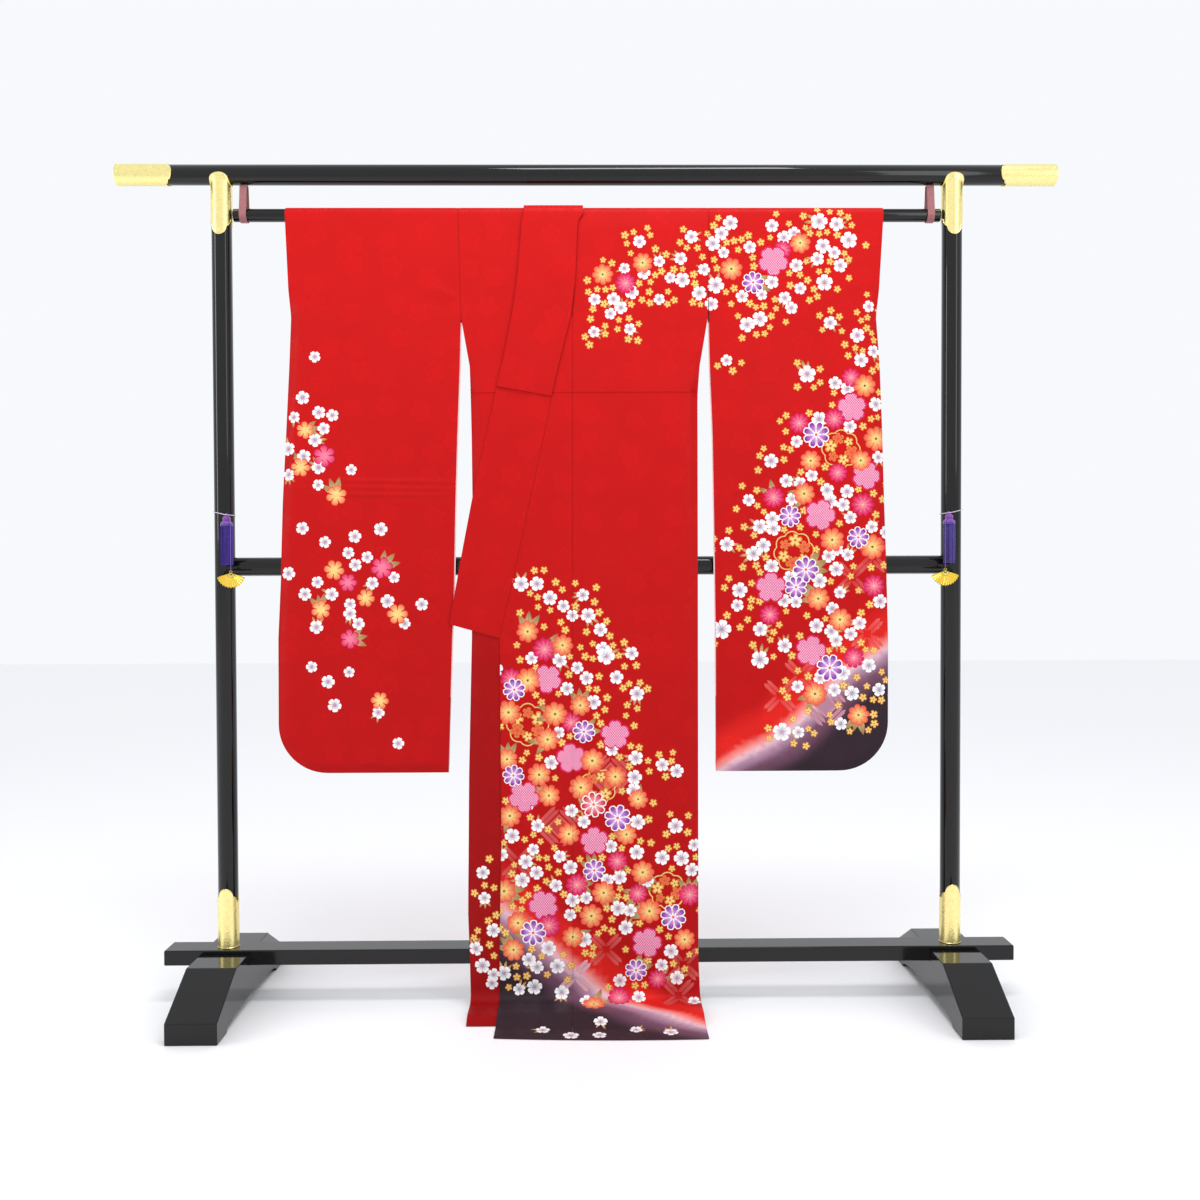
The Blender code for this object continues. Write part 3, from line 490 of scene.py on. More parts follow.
class Shape:
    """Points and faces gathered into one mesh."""

    def __init__(self):
        self.points = []
        self.faces = []

    def rings(self, rings, loop=False):
        """Joins rings of equal count. The ends close in a fan, or join each other in a loop."""
        count, base = len(rings[0]), len(self.points)
        for ring in rings:
            self.points.extend(ring)
        for i in range(len(rings) if loop else len(rings) - 1):
            here, there = base + i * count, base + ((i + 1) % len(rings)) * count
            for j in range(count):
                k = (j + 1) % count
                self.faces.append((here + j, here + k, there + k, there + j))
        if not loop:
            for first in (base, base + (len(rings) - 1) * count):
                ring = self.points[first:first + count]
                self.points.append(tuple(sum(c) / count for c in zip(*ring)))
                last = len(self.points) - 1
                for j in range(count):
                    self.faces.append((first + j, first + (j + 1) % count, last))

    def turned(self, rows, sides, point, loop=False):
        """Rings of points, one for each row, from a function of the row's values and the angle."""
        self.rings([[point(*row, angle) for angle in turn(sides)] for row in rows], loop)

    def dome(self, centre, outward, radius):
        """A nail's round head on a surface."""
        out = Vector(outward).normalized()
        side = out.orthogonal().normalized()
        other = out.cross(side)
        rings = []
        for share in (0.0, 0.35, 0.7, 0.95):
            lift = sin(share * pi / 2) * radius * NAIL_LIFT
            wide = cos(share * pi / 2) * radius
            rings.append([tuple(Vector(centre) + lift * out + wide * (cos(a) * side + sin(a) * other))
                          for a in turn(10)])
        self.rings(rings)

    def tube(self, path, section, across, loop=True):
        """A section carried along a path, which closes on itself or has two ends."""
        self.rings(sweep(path, section, across, loop), loop)

    def piece(self, name, material, smooth=35.0):
        return add_mesh(name, self.points, self.faces, material, smooth)


# Where the rail stops inside its caps
RAIL_END = STAND_WIDTH / 2 - 3.3
# The posts' top fittings: their lower edge and the depth of its lobes, then their upper edge and
# the height of its tongues. The shoes have an upper edge only. The nails are (angle, height).
TOP_LOW = 1527.0
TOP_LOBES = 30.0
TOP_HIGH = 1596.2
TONGUES = 20.0
TOP_NAILS = ((0.0, 1506.0), (0.0, 1606.0), (0.9, 1540.0), (-0.9, 1540.0))
SHOE_HIGH = 197.0
SHOE_LOBES = 28.0
SHOE_NAILS = ((0.0, 118.0), (0.0, 214.0), (0.9, 185.0), (-0.9, 185.0))
# A bar's softened end: (share of the radius, way in from the end)
BAR_END = ((0.2, 0), (0.5, 0), (0.8, 0), (0.93, 0), (0.975, 0.25), (1.0, 1.0))
BAR_SIDES = 72
FITTING_SIDES = 96
NAIL_LIFT = 0.6
NAIL_RADIUS = 1.5
CAP_NAIL_RADIUS = 1.4
RIVET_RADIUS = 1.8
# A fitting's wall, and its raised edge: (way in from the edge, along, how far it stands out)
FITTING_WALL = 0.8
FITTING_EDGE = ((0.0, 0, 0.0), (0.5, 0, 0.5), (1.4, 0, 0.55), (2.0, 0, 0.0))


def bar(name, axis, middle, radius, low, high, material):
    """A round bar with softened ends. low and high give its ends for an offset in Y."""
    def point(share, inset, end, way, angle):
        across, y = share * radius * cos(angle), share * radius * sin(angle)
        along = end(y) + way * inset
        if axis == "X":
            return along, middle[1] + y, middle[2] + across
        return middle[0] + across, middle[1] + y, along

    shape = Shape()
    shape.turned([(*step, low, 1) for step in BAR_END] +
                 [(*step, high, -1) for step in reversed(BAR_END)], BAR_SIDES, point)
    return shape.piece(name, material)


def flat_end(value):
    return lambda y: value


def saddle_end(place, radius, side):
    return lambda y: place + side * sqrt((radius + GAP) ** 2 - y * y)


LOBE_SPREAD = radians(68)


def lobe(angle):
    """1 at the front and back of a fitting, falling to 0 in a round arch at its sides."""
    off = abs((angle + pi / 2) % pi - pi / 2)
    return sqrt(max(0.0, 1 - (off / LOBE_SPREAD) ** 2))


def cusped(angle):
    """The lobe with a cusp at each shoulder, as on the fittings' outlines."""
    off = abs((angle + pi / 2) % pi - pi / 2)
    shoulder = 0.62 * LOBE_SPREAD
    if off < shoulder:
        return 0.42 + 0.58 * sqrt(1 - (off / shoulder) ** 2)
    return 0.42 * sqrt(max(0.0, 1 - ((off - shoulder) / (LOBE_SPREAD - shoulder)) ** 2))


def on_post(x_middle, angle, height, wall):
    """A point on the sheet round a post, which climbs onto the rail's front and back."""
    depth = (POST_RADIUS + wall) * abs(cos(angle))
    over = (RAIL_RADIUS + wall) ** 2 - (height - RAIL_HEIGHT) ** 2
    if over > 0:
        depth = max(depth, sqrt(over))
    side = -1 if cos(angle) > 0 else 1
    return (x_middle + (POST_RADIUS + wall) * sin(angle), side * depth, height)


def fitting(name, x_middle, low, high, material, nails):
    """A gilt sheet round a post with a raised edge. low and high give its edges for an angle."""
    wall = GAP + FITTING_WALL
    rows = list(FITTING_EDGE) + [(0.0, k / 14, 0.0) for k in range(1, 14)]
    rows += [(-d, 1, raised) for d, share, raised in FITTING_EDGE[::-1]]

    def point(d, share, away, angle):
        start, end = low(angle), high(angle)
        if 0 < share < 1:
            height = start + 2 + share * (end - start - 4)
        else:
            height = d + (end if share else start)
        return on_post(x_middle, angle, height, away)

    shape = Shape()
    shape.turned([(d, share, wall + raised) for d, share, raised in rows] +
                 [(d, share, GAP) for d, share, _ in reversed(rows)], FITTING_SIDES, point, loop=True)
    for angle, height in nails:
        for turned in (angle, angle + pi):
            spot = Vector(on_post(x_middle, turned, height, wall))
            shape.dome(spot, (sin(turned), -cos(turned), 0), NAIL_RADIUS)
    return shape.piece(name, material, 30)


# A rail cap from its end inwards, (share of its radius, way back), and its lobed edge, (share of
# its radius, way from the edge)
CAP_END = ((0.3, 0), (0.7, 0), (0.94, 0), (0.985, 0.4), (1.0, 1.4), (1.0, 5), (1.0, 9), (1.0, 30),
           (1.0, 60), (1.0, 84))
CAP_EDGE = ((1.0, 4.5), (1.0, 2.2), (1.035, 1.6), (1.035, 0.4), (1.0, 0.0))


def rail_cap(name, side, material):
    """A gilt cup over the rail's end, with a lobed edge on its front and back and two rows of nails.
    """
    shape = Shape()
    end = STAND_WIDTH / 2
    edge = end - CAP_LENGTH
    inner = RAIL_RADIUS + GAP
    rows = [(share, end - back, 0) for share, back in CAP_END]
    rows += [(share, place, 1) for share, place in CAP_EDGE]
    rows += [(inner / CAP_RADIUS, 0.0, 1), (inner / CAP_RADIUS, end - 3, 0),
             (0.5 * inner / CAP_RADIUS, end - 3, 0)]

    def point(share, place, lobed, angle):
        x = edge + CAP_LOBE * (1 - cusped(angle)) + place if lobed else place
        radius = share * CAP_RADIUS
        return side * x, -radius * cos(angle), RAIL_HEIGHT + radius * sin(angle)

    shape.turned(rows, FITTING_SIDES, point)
    for x in (end - 6, end - 70):
        for angle in (0.0, 0.5, -0.5, 1.0, -1.0):
            for turned in (angle, angle + pi):
                spot = (side * x, -CAP_RADIUS * cos(turned), RAIL_HEIGHT + CAP_RADIUS * sin(turned))
                shape.dome(spot, (0, -cos(turned), sin(turned)), CAP_NAIL_RADIUS)
    return shape.piece(name, material, 30)


def sweep(path, section, across, loop=True):
    """Rings that carry section, as (out, across) pairs, along a path of points."""
    rings = []
    count = len(path)
    for i, point in enumerate(path):
        ahead = path[(i + 1) % count] if loop else path[min(i + 1, count - 1)]
        behind = path[i - 1] if loop else path[max(i - 1, 0)]
        along = (Vector(ahead) - Vector(behind)).normalized()
        out = along.cross(Vector(across)).normalized()
        side = out.cross(along).normalized()
        rings.append([tuple(Vector(point) + a * out + b * side) for a, b in section])
    return rings


def round_section(radius, sides):
    return [(radius * cos(a), radius * sin(a)) for a in turn(sides)]


# The strap's distance from the rod and the rail, its steps round the rod and up to the rail, its
# half width at both ends of that run, and the run's ends above the rod and below the rail
STRAP_OFF = 1.0
STRAP_TURN = 24
STRAP_RUN = 5
STRAP_WIDE = 12.0
STRAP_DRAWN = 5.5
STRAP_START = 11
STRAP_STOP = 4
# Its flat section, with its edges rounded off
STRAP_SECTION = ((-0.9, -6.8), (-0.9, 6.8), (0, 7.0), (0.9, 6.8), (0.9, -6.8), (0, -7.0))


def strap(name, x_middle, material):
    """A flat loop round the hanging rod, drawn in to the rail's underside."""
    radius = ROD_RADIUS + GAP + STRAP_OFF
    top = RAIL_HEIGHT - RAIL_RADIUS - GAP - STRAP_OFF
    path = [(x_middle, radius * cos(a), ROD_HEIGHT + radius * sin(a))
            for a in (pi + pi * k / STRAP_TURN for k in range(STRAP_TURN + 1))]
    rise = top - STRAP_STOP - ROD_HEIGHT - STRAP_START
    path += [(x_middle, STRAP_WIDE - STRAP_DRAWN * k / STRAP_RUN,
              ROD_HEIGHT + STRAP_START + rise * k / STRAP_RUN) for k in range(1, STRAP_RUN + 1)]
    path += [(x_middle, 6.2, top - 2), (x_middle, 5.0, top - 0.6), (x_middle, 3.5, top)]
    path += [(x_middle, -y, z) for _, y, z in path[:STRAP_TURN:-1]]
    shape = Shape()
    shape.tube(path, STRAP_SECTION, (1, 0, 0))
    return shape.piece(name, material)


# The least turn, in degrees, of a plank's corners that are softened
PLANK_CORNER = 25


def plank(name, outline, x_range, material, width):
    """A slab sawn to an outline of (Y, Z), with softened edges."""
    points = [(x, y, z) for x in x_range for y, z in outline]
    count = len(outline)
    faces = [tuple(range(count)), tuple(range(2 * count - 1, count - 1, -1))]
    faces += [(i, (i + 1) % count, count + (i + 1) % count, count + i) for i in range(count)]
    piece = add_mesh(name, points, faces, material, PLANK_CORNER)
    edges = piece.modifiers.new("edges", "BEVEL")
    edges.width = width * MM
    edges.segments = 3
    edges.limit_method = "ANGLE"
    edges.angle_limit = radians(PLANK_CORNER)
    edges.harden_normals = True
    return piece


def foot(name, side, material):
    toe = FOOT_LENGTH / 2
    notch = BEAM_DEPTH / 2 + GAP
    half = [(toe, 0.0), (toe, TOE_HEIGHT), (FOOT_FLAT / 2, FOOT_TOP)]
    half += [(notch, FOOT_TOP), (notch, BEAM_BOTTOM - GAP)]
    outline = half + [(-y, z) for y, z in reversed(half)]
    arch = toe - TOE_PAD
    for step in range(ARCH_STEPS + 1):
        y = -arch * cos(pi * step / ARCH_STEPS)
        lift = ARCH_HEIGHT * sin(pi * step / ARCH_STEPS) ** 0.7 if 0 < step < ARCH_STEPS else 0.0
        outline.append((y, lift))
    middle = side * POST_X
    return plank(name, outline, (middle - FOOT_WIDTH / 2, middle + FOOT_WIDTH / 2), material, 1.8)


def beam(name, material):
    y = BEAM_DEPTH / 2
    outline = [(-y, BEAM_BOTTOM), (y, BEAM_BOTTOM), (y, BEAM_TOP), (-y, BEAM_TOP)]
    return plank(name, outline, (-BEAM_LENGTH / 2, BEAM_LENGTH / 2), material, 2.4)


def tassel_axis(side):
    return (side * (POST_X - TASSEL_IN), -TASSEL_OUT)


def tie_cord(name, side, material):
    """A cord round the post and the tassel's knob, as a belt round two wheels, tied aslant."""
    knob = tassel_axis(side)
    post_x = side * POST_X
    big = POST_RADIUS + GAP + TIE_RADIUS
    small = KNOB_RADIUS + GAP + TIE_RADIUS
    dx, dy = knob[0] - post_x, knob[1]
    spread = pi / 2 - asin((big - small) / hypot(dx, dy))
    heading = atan2(dy, dx)
    path = []
    for middle, radius, start, swept, steps in (
        (knob, small, heading - spread, 2 * spread, 14),
        ((post_x, 0.0), big, heading + spread, 2 * pi - 2 * spread, 48),
    ):
        for step in range(steps + 1):
            angle = start + swept * step / steps
            x, y = polar(middle, radius, angle)
            path.append((x, y, TASSEL_HEIGHT + TIE_SLOPE * max(0.0, side * (x - knob[0]))))
    shape = Shape()
    shape.tube(path, round_section(TIE_RADIUS, 10), (0, 0, 1))
    return shape.piece(name, material)


# The tassel's head: radius and height from the tie cord, from its top to the root of its strands
TASSEL_HEAD = (
    (0.5, 3.5), (1.4, 3.2), (KNOB_RADIUS, 2.4), (KNOB_RADIUS, -1.4), (4.4, -2.6), (6.4, -3.8),
    (7.6, -6.0), (7.8, -8.5), (7.0, -10.4), (6.2, -11.2), (6.9, -12.0), (9.4, -13.6), (11.0, -15.6),
    (11.8, -18.0), (12.0, -21.5), (11.0, -22.0), (6.0, -22.2),
)

# The tassel's fine locks: how many, how far out, their thickness, and their roots below the tie
LOCKS = 230
LOCK_REACH = 11.2
LOCK_RADIUS = 0.62
LOCK_ROOT = 21.3


def tassel(name, side, material):
    """A bound head with a skirt of fine strands."""
    axis = tassel_axis(side)
    shape = Shape()
    shape.rings([[(*polar(axis, r, a), TASSEL_HEIGHT + h) for a in turn(40)]
                 for r, h in TASSEL_HEAD])
    chance = Random(41 if side > 0 else 43)
    for _ in range(LOCKS):
        angle = chance.uniform(0, 2 * pi)
        out = LOCK_REACH * sqrt(chance.uniform(0.12, 1.0))
        length = TASSEL_LOCK_LENGTH * chance.uniform(0.975, 1.0)
        swing = chance.uniform(-0.12, 0.12)
        rings = []
        for k in range(6):
            share = k / 5
            reach = out * (1 + 0.06 * sin(pi * share)) + chance.uniform(-0.1, 0.1)
            place = polar(axis, reach, angle + swing * share)
            z = TASSEL_HEIGHT - LOCK_ROOT - length * share
            width = LOCK_RADIUS * (1 - 0.35 * share)
            rings.append([(*polar(place, width, a), z) for a in turn(3)])
        shape.rings(rings)
    for height in (-10.4, -11.3, -12.2):
        path = [(*polar(axis, 7.0, a), TASSEL_HEIGHT + height) for a in turn(40)]
        shape.tube(path, round_section(0.6, 6), (0, 0, 1))
    return shape.piece(name, material)


# The fan's string: how far from the tassel's axis, and how far below the tie cord
STRING_ROUTE = (
    (5.7, -0.3), (6.9, 1.8), (8.6, 4.5), (9.8, 8.0), (11.2, 12.5), (13.2, 17.0), (13.9, 23.0),
)


def string_point(side, out, down):
    x, y = tassel_axis(side)
    return (x - side * out * cos(STRING_TURN), y - out * sin(STRING_TURN), TASSEL_HEIGHT - down)


def fan_place(side):
    return string_point(side, STRING_ROUTE[-1][0], TASSEL_HEIGHT - FAN_PIVOT)


def smooth_route(points, steps):
    """A smooth curve through points, as steps short runs between each two."""
    route = []
    for i in range(len(points) - 1):
        a, b, c, d = (Vector(points[min(max(i + k, 0), len(points) - 1)]) for k in (-1, 0, 1, 2))
        for step in range(steps):
            t = step / steps
            route.append(0.5 * ((2 * b) + (c - a) * t + (2 * a - 5 * b + 4 * c - d) * t * t
                                + (3 * b - a - 3 * c + d) * t ** 3))
    route.append(Vector(points[-1]))
    return route


def fan_string(name, side, material):
    points = [string_point(side, out, down) for out, down in STRING_ROUTE]
    x, y, pivot = fan_place(side)
    foot_height = pivot + FAN_HEAD[1] + GAP
    start = points[-1][2]
    points += [(x, y, start + (foot_height - start) * k / 6) for k in range(1, 7)]
    route = smooth_route(points, 4)
    curve = bpy.data.curves.new(name, "CURVE")
    curve.dimensions = "3D"
    curve.bevel_depth = STRING_RADIUS * MM
    curve.bevel_resolution = 3
    curve.use_fill_caps = True
    spline = curve.splines.new("POLY")
    spline.points.add(len(route) - 1)
    for place, point in zip(spline.points, route):
        place.co = (*(c * MM for c in point), 1.0)
    curve.materials.append(material)
    piece = add_object(name, curve)
    length = sum((b - a).length for a, b in zip(route, route[1:]))
    return piece, route, length


# The fan's pleats, the depth of their folds and of their pointed ends, and the rows along them
FAN_PLEATS = 26
FAN_FOLD = 1.3
FAN_POINT = 0.09
FAN_PAPER = 0.25
FAN_ROWS = (0.32, 0.5, 0.75, 0.93, 1.0)
# A rib's places along its length, and its section
FAN_RIB = (-3.0, 0, 4, 10, 16, 22)
FAN_RIB_SECTION = ((-0.5, -0.35), (0.5, -0.35), (0.5, 0.35), (-0.5, 0.35))


def fan_angle(j):
    return -FAN_SPREAD + 2 * FAN_SPREAD * j / FAN_PLEATS


def fan(name, side, material):
    """A folding fan of pleated gilt paper, open and pointing down, with its ribs and rivet."""
    x, y, pivot = fan_place(side)
    shape = Shape()
    for face in (-1, 1):
        base = len(shape.points)
        for share in FAN_ROWS:
            for j in range(FAN_PLEATS + 1):
                angle = fan_angle(j)
                radius = FAN_RADIUS * (share - (FAN_POINT if share == 1.0 and j % 2 == 0 else 0))
                fold = (FAN_FOLD if j % 2 else -FAN_FOLD) * share
                shape.points.append((x + radius * sin(angle), y + fold + face * FAN_PAPER,
                                     pivot - radius * cos(angle)))
        for i in range(len(FAN_ROWS) - 1):
            for j in range(FAN_PLEATS):
                a = base + i * (FAN_PLEATS + 1) + j
                shape.faces.append((a, a + 1, a + FAN_PLEATS + 2, a + FAN_PLEATS + 1))
    for j in range(0, FAN_PLEATS + 1, 2):
        out = Vector((sin(fan_angle(j)), 0, -cos(fan_angle(j))))
        path = [tuple(Vector((x, y - 0.2, pivot)) + out * r) for r in FAN_RIB]
        shape.tube(path, FAN_RIB_SECTION, (0, 1, 0), loop=False)
    for face in (-1, 1):
        shape.dome((x, y + face * 0.9, pivot), (0, face, 0), RIVET_RADIUS)
    loop = [(x + 2.6 * sin(a), y, pivot + 3.4 + 1.4 * cos(a)) for a in turn(20)]
    shape.tube(loop, round_section(0.5, 6), (0, 1, 0))
    return shape.piece(name, material, 25)


def between(table, level, column):
    """Reads a column of a table at a level. The rows run downwards."""
    if level >= table[0][0]:
        return table[0][column]
    for upper, lower in zip(table, table[1:]):
        if level >= lower[0]:
            share = (upper[0] - level) / (upper[0] - lower[0])
            return upper[column] + share * (lower[column] - upper[column])
    return table[-1][column]


def side_of(table):
    """1 for a table of the left half and -1 for one of the right half."""
    return 1 if table[0][1] > 0 else -1


def clamp(value, low=0.0, high=1.0):
    return min(max(value, low), high)


def ease(share):
    share = clamp(share)
    return share * share * (3 - 2 * share)


def line_y(level, at_rod, at_rail, at_bend):
    """Y of a hanging layer, straight from the rod to the middle rail and on to the floor bend."""
    if level >= RAIL_LEVEL:
        share = clamp((ROD_HEIGHT - level) / (ROD_HEIGHT - RAIL_LEVEL))
        return at_rod + share * (at_rail - at_rod)
    share = (RAIL_LEVEL - level) / (RAIL_LEVEL - BEND_LEVEL)
    return at_rail + min(share, 1.0) * (at_bend - at_rail)


def front_y(level):
    return line_y(level, -ROD_FOLD, FRONT_AT_RAIL, FRONT_AT_BEND)


def over_front_y(level):
    """The left front lies a layer proud of the right one, from just below the rod."""
    return front_y(level) - LAYER * clamp((ROD_HEIGHT - level) / (ROD_HEIGHT - NECKLINE))


def back_y(level):
    return line_y(level, ROD_FOLD, BACK_AT_RAIL, BACK_AT_BEND)


def pleat_y(level, layers):
    """The back's folded layers, counted from the one that is outermost behind."""
    outermost = line_y(level, ROD_FOLD + 2 * PLEAT_LAYER, BACK_AT_RAIL, BACK_AT_BEND)
    return outermost - layers * PLEAT_LAYER


def sleeve_front_y(level):
    return line_y(level, -ROD_FOLD, FRONT_AT_RAIL, FRONT_AT_RAIL + 2)


def sleeve_back_y(level):
    return line_y(level, ROD_FOLD, BACK_AT_RAIL, BACK_AT_RAIL)


def pinched(y, partner, distance, weight):
    """Draws a layer to its partner's seam as the edge comes near, leaving the seam's own gap."""
    middle = (y + partner) / 2
    half = abs(y - partner) / 2
    at_edge = min(SEAM / 2, half)
    depth = at_edge + (half - at_edge) * ease(distance / SEAM_EASE)
    depth = half + weight * (depth - half)
    return middle + (depth if y > partner else -depth)


def side_weight(level):
    """How far the side seam is closed: open under the armhole, and again where the hem spreads."""
    closed = ease((SIDE_OPENING_END + SIDE_EASE - level) / SIDE_EASE)
    return closed * ease((level - BEND_LEVEL) / HEM_EASE)


# A cut is measured across (X as it hangs) and along. Along is the height up the front, then runs
# over the rod and down the back. Below the floor bend it goes on along the floor.
BACK_TOP = ROD_HEIGHT + pi * ROD_FOLD


def behind(level):
    """Along, for a level on the back."""
    return BACK_TOP + ROD_HEIGHT - level


def floor_place(start, floor, distance):
    """(Y, Z) at a distance past the top of the floor bend, and along a floor table's rows."""
    radius = BEND_LEVEL - floor[0][1]
    turned = radius * pi / 2
    if distance < turned:
        angle = distance / radius
        return start - radius * (1 - cos(angle)), BEND_LEVEL - radius * sin(angle)
    y = start - radius - (distance - turned)
    rows = ((start - radius, floor[0][1]),) + floor
    for near, far in zip(rows, floor):
        if y >= far[0]:
            return y, far[1] + (near[1] - far[1]) * ease((y - far[0]) / (near[0] - far[0]))
    return y, floor[-1][1]


def floor_length(start, floor):
    radius = BEND_LEVEL - floor[0][1]
    return radius * pi / 2 + start - radius - floor[-1][0]


NECK_CORNER = behind(NECK_TURN_Z)


def over_rod(along, radius=ROD_FOLD):
    angle = (along - ROD_HEIGHT) / ROD_FOLD
    return -radius * cos(angle), ROD_HEIGHT + radius * sin(angle)


# The line pressed down the left front, beside the overlap's seam
PRESSED_X = -21.0

# Soft creases: middle (across, level), direction of the crease in degrees from level, length,
# width and height of the ridge, or depth of the trough where it is negative
FRONT_CREASES = (
    ((-60.0, 1440.0), 96.0, 120.0, 22.0, 1.6),
    ((120.0, 1330.0), 84.0, 300.0, 46.0, -1.8),
    ((60.0, 1250.0), 92.0, 260.0, 34.0, 1.6),
    ((165.0, 1120.0), 95.0, 380.0, 40.0, 2.0),
    ((-90.0, 900.0), 78.0, 330.0, 36.0, -1.8),
    ((95.0, 850.0), 93.0, 420.0, 42.0, -2.4),
    ((20.0, 700.0), 86.0, 460.0, 30.0, 2.2),
    ((150.0, 560.0), 88.0, 500.0, 44.0, 2.6),
    ((-120.0, 520.0), 91.0, 430.0, 32.0, 2.0),
    ((80.0, 380.0), 94.0, 380.0, 34.0, -2.4),
    ((-40.0, 260.0), 87.0, 360.0, 38.0, 2.4),
    ((170.0, 230.0), 92.0, 260.0, 30.0, -2.0),
    ((-150.0, 180.0), 95.0, 220.0, 28.0, -1.8),
    ((PRESSED_X, 600.0), 90.0, 1060.0, 3.2, -1.5),
)
BACK_CREASES = (
    ((-150.0, 1300.0), 88.0, 360.0, 40.0, 2.2),
    ((150.0, 1260.0), 93.0, 320.0, 44.0, 2.4),
    ((-60.0, 1080.0), 95.0, 420.0, 38.0, -2.0),
    ((165.0, 960.0), 87.0, 340.0, 32.0, -1.8),
    ((-170.0, 800.0), 91.0, 300.0, 36.0, 1.6),
    ((30.0, 620.0), 94.0, 420.0, 44.0, 2.2),
    ((-110.0, 480.0), 86.0, 460.0, 36.0, 2.6),
    ((150.0, 440.0), 92.0, 380.0, 34.0, 2.0),
    ((-20.0, 260.0), 89.0, 300.0, 30.0, 1.8),
)
LEFT_SLEEVE_CREASES = (
    ((300.0, 1180.0), 92.0, 420.0, 44.0, 2.2),
    ((420.0, 1260.0), 84.0, 260.0, 50.0, -2.0),
    ((360.0, 850.0), 88.0, 480.0, 52.0, 2.6),
    ((500.0, 760.0), 94.0, 420.0, 46.0, -2.2),
    ((290.0, 560.0), 97.0, 240.0, 36.0, -2.0),
    ((430.0, 520.0), 86.0, 200.0, 40.0, 1.8),
    ((400.0, 986.0), 1.0, 420.0, 4.5, -1.1),
)
RIGHT_SLEEVE_CREASES = (
    ((-330.0, 1230.0), 95.0, 360.0, 46.0, 2.0),
    ((-480.0, 1140.0), 86.0, 420.0, 54.0, -2.2),
    ((-400.0, 800.0), 92.0, 460.0, 50.0, 2.4),
    ((-540.0, 700.0), 88.0, 360.0, 42.0, 2.0),
    ((-320.0, 590.0), 84.0, 260.0, 38.0, -2.2),
    ((-400.0, 1019.0), -0.6, 440.0, 3.8, 1.8),
    ((-400.0, 1006.0), -1.2, 440.0, 4.2, 1.7),
    ((-400.0, 993.0), -0.8, 420.0, 3.8, 1.6),
    ((-284.0, 1386.0), -28.0, 84.0, 7.0, 1.7),
    ((-296.0, 1362.0), -34.0, 70.0, 8.0, -1.2),
)

# The creases' own factors: how much deeper they are drawn, and how fast they fall off sideways
CREASE_DEPTH = 1.4
FALLOFF = 2.718


def creased(creases, x, level):
    """How far the creases raise the cloth at a place."""
    total = 0.0
    for (at_x, at_level), turned, length, width, height in creases:
        dx, dz = x - at_x, level - at_level
        if abs(dx) > length or abs(dz) > length:
            continue
        c, s = cos(radians(turned)), sin(radians(turned))
        along, across = (dx * c + dz * s) / length * 2, (dz * c - dx * s) / width
        if abs(along) < 1:
            total += CREASE_DEPTH * height * (1 - along * along) ** 2 * FALLOFF ** (-across * across)
    return total


# The tuck at the waist: its level, the height of its edge, how proud it lies and how high it fades
TUCK_LEVEL = 1190.0
TUCK_EDGE = 0.6
TUCK_PROUD = 1.1
TUCK_FADE = 70.0
TUCK_SIDES = (-236.0, 214.0)
TUCK_EASE = 14.0
# Where the body's folds die out: its two sides, and below the rod on the front and the back
FOLD_SIDES = (-236.0, 212.0)
SIDE_FADE = 40.0
FRONT_FADE = 80.0
BACK_FADE = 120.0


def within(x, sides, width):
    """1 between two sides, easing to 0 at each."""
    return ease((x - sides[0]) / width) * ease((sides[1] - x) / width)


def tucked(x, level):
    """The tuck sewn across the body at the waist: the cloth above it lies a fold proud of its seam."""
    if level < TUCK_LEVEL + TUCK_EDGE / 2:
        return 0.0
    return TUCK_PROUD * within(x, TUCK_SIDES, TUCK_EASE) * (
        1 - ease((level - TUCK_LEVEL) / TUCK_FADE))


def front_fold(x, level):
    """The body's stacked front layers share their creases, which die out at its two sides."""
    near = within(x, FOLD_SIDES, SIDE_FADE)
    fold = near * ease((ROD_HEIGHT - level) / FRONT_FADE) * creased(FRONT_CREASES, x, level)
    return fold + tucked(x, level)


def back_fold(x, level):
    near = within(x, FOLD_SIDES, SIDE_FADE)
    clear = min(1.0, abs(level - MIDDLE_HEIGHT) / BAR_EASE, abs(level - BEAM_TOP) / BAR_EASE)
    fold = near * clear * ease((ROD_HEIGHT - level) / BACK_FADE) * creased(BACK_CREASES, x, level)
    return fold + tucked(x, level)


def front_place(table, front, floor, bow):
    """Turns a front's cut into space: it hangs, and below the bend runs on to a bowed hem."""
    start = front(BEND_LEVEL)
    middle = (table[-1][1] + table[-1][2]) / 2

    def place(u, along, y=None):
        if along < BEND_LEVEL:
            y, z = floor_place(start, floor, BEND_LEVEL - along)
            reach = (start - y) / (start - floor[-1][0])
            return u, y - bow * reach * (1 - ((u - middle) / BOW_HALF_WIDTH) ** 2), z
        y = front(along) if y is None else y
        return u, y - front_fold(u, along) * ease((along - BEND_LEVEL) / HEM_EASE), along

    return place


def body_place(table, front, floor, bow, across_back, depth, back_floor):
    """Turns a body panel's cut into space. Its sides are sewn together below the armhole."""
    on_front = front_place(table, front, floor, bow)

    def place(u, along):
        if along < BEND_LEVEL:
            return on_front(u, along)
        if along <= ROD_HEIGHT:
            side_x = between(table, along, 1)
            return on_front(u, along, pinched(front(along), back_y(along), abs(u - side_x),
                                              side_weight(along)))
        if along < BACK_TOP:
            return (u, *over_rod(along))
        level = behind(along)
        x, layer = across_back(u)
        if level < BEND_LEVEL:
            return (x, *floor_place(depth(x, BEND_LEVEL, layer), back_floor(layer),
                                    BEND_LEVEL - level))
        side_x = between(table, level, 1)
        y = pinched(depth(x, level, layer), front(level), abs(x - side_x), side_weight(level))
        return x, y + back_fold(x, level), level

    return place


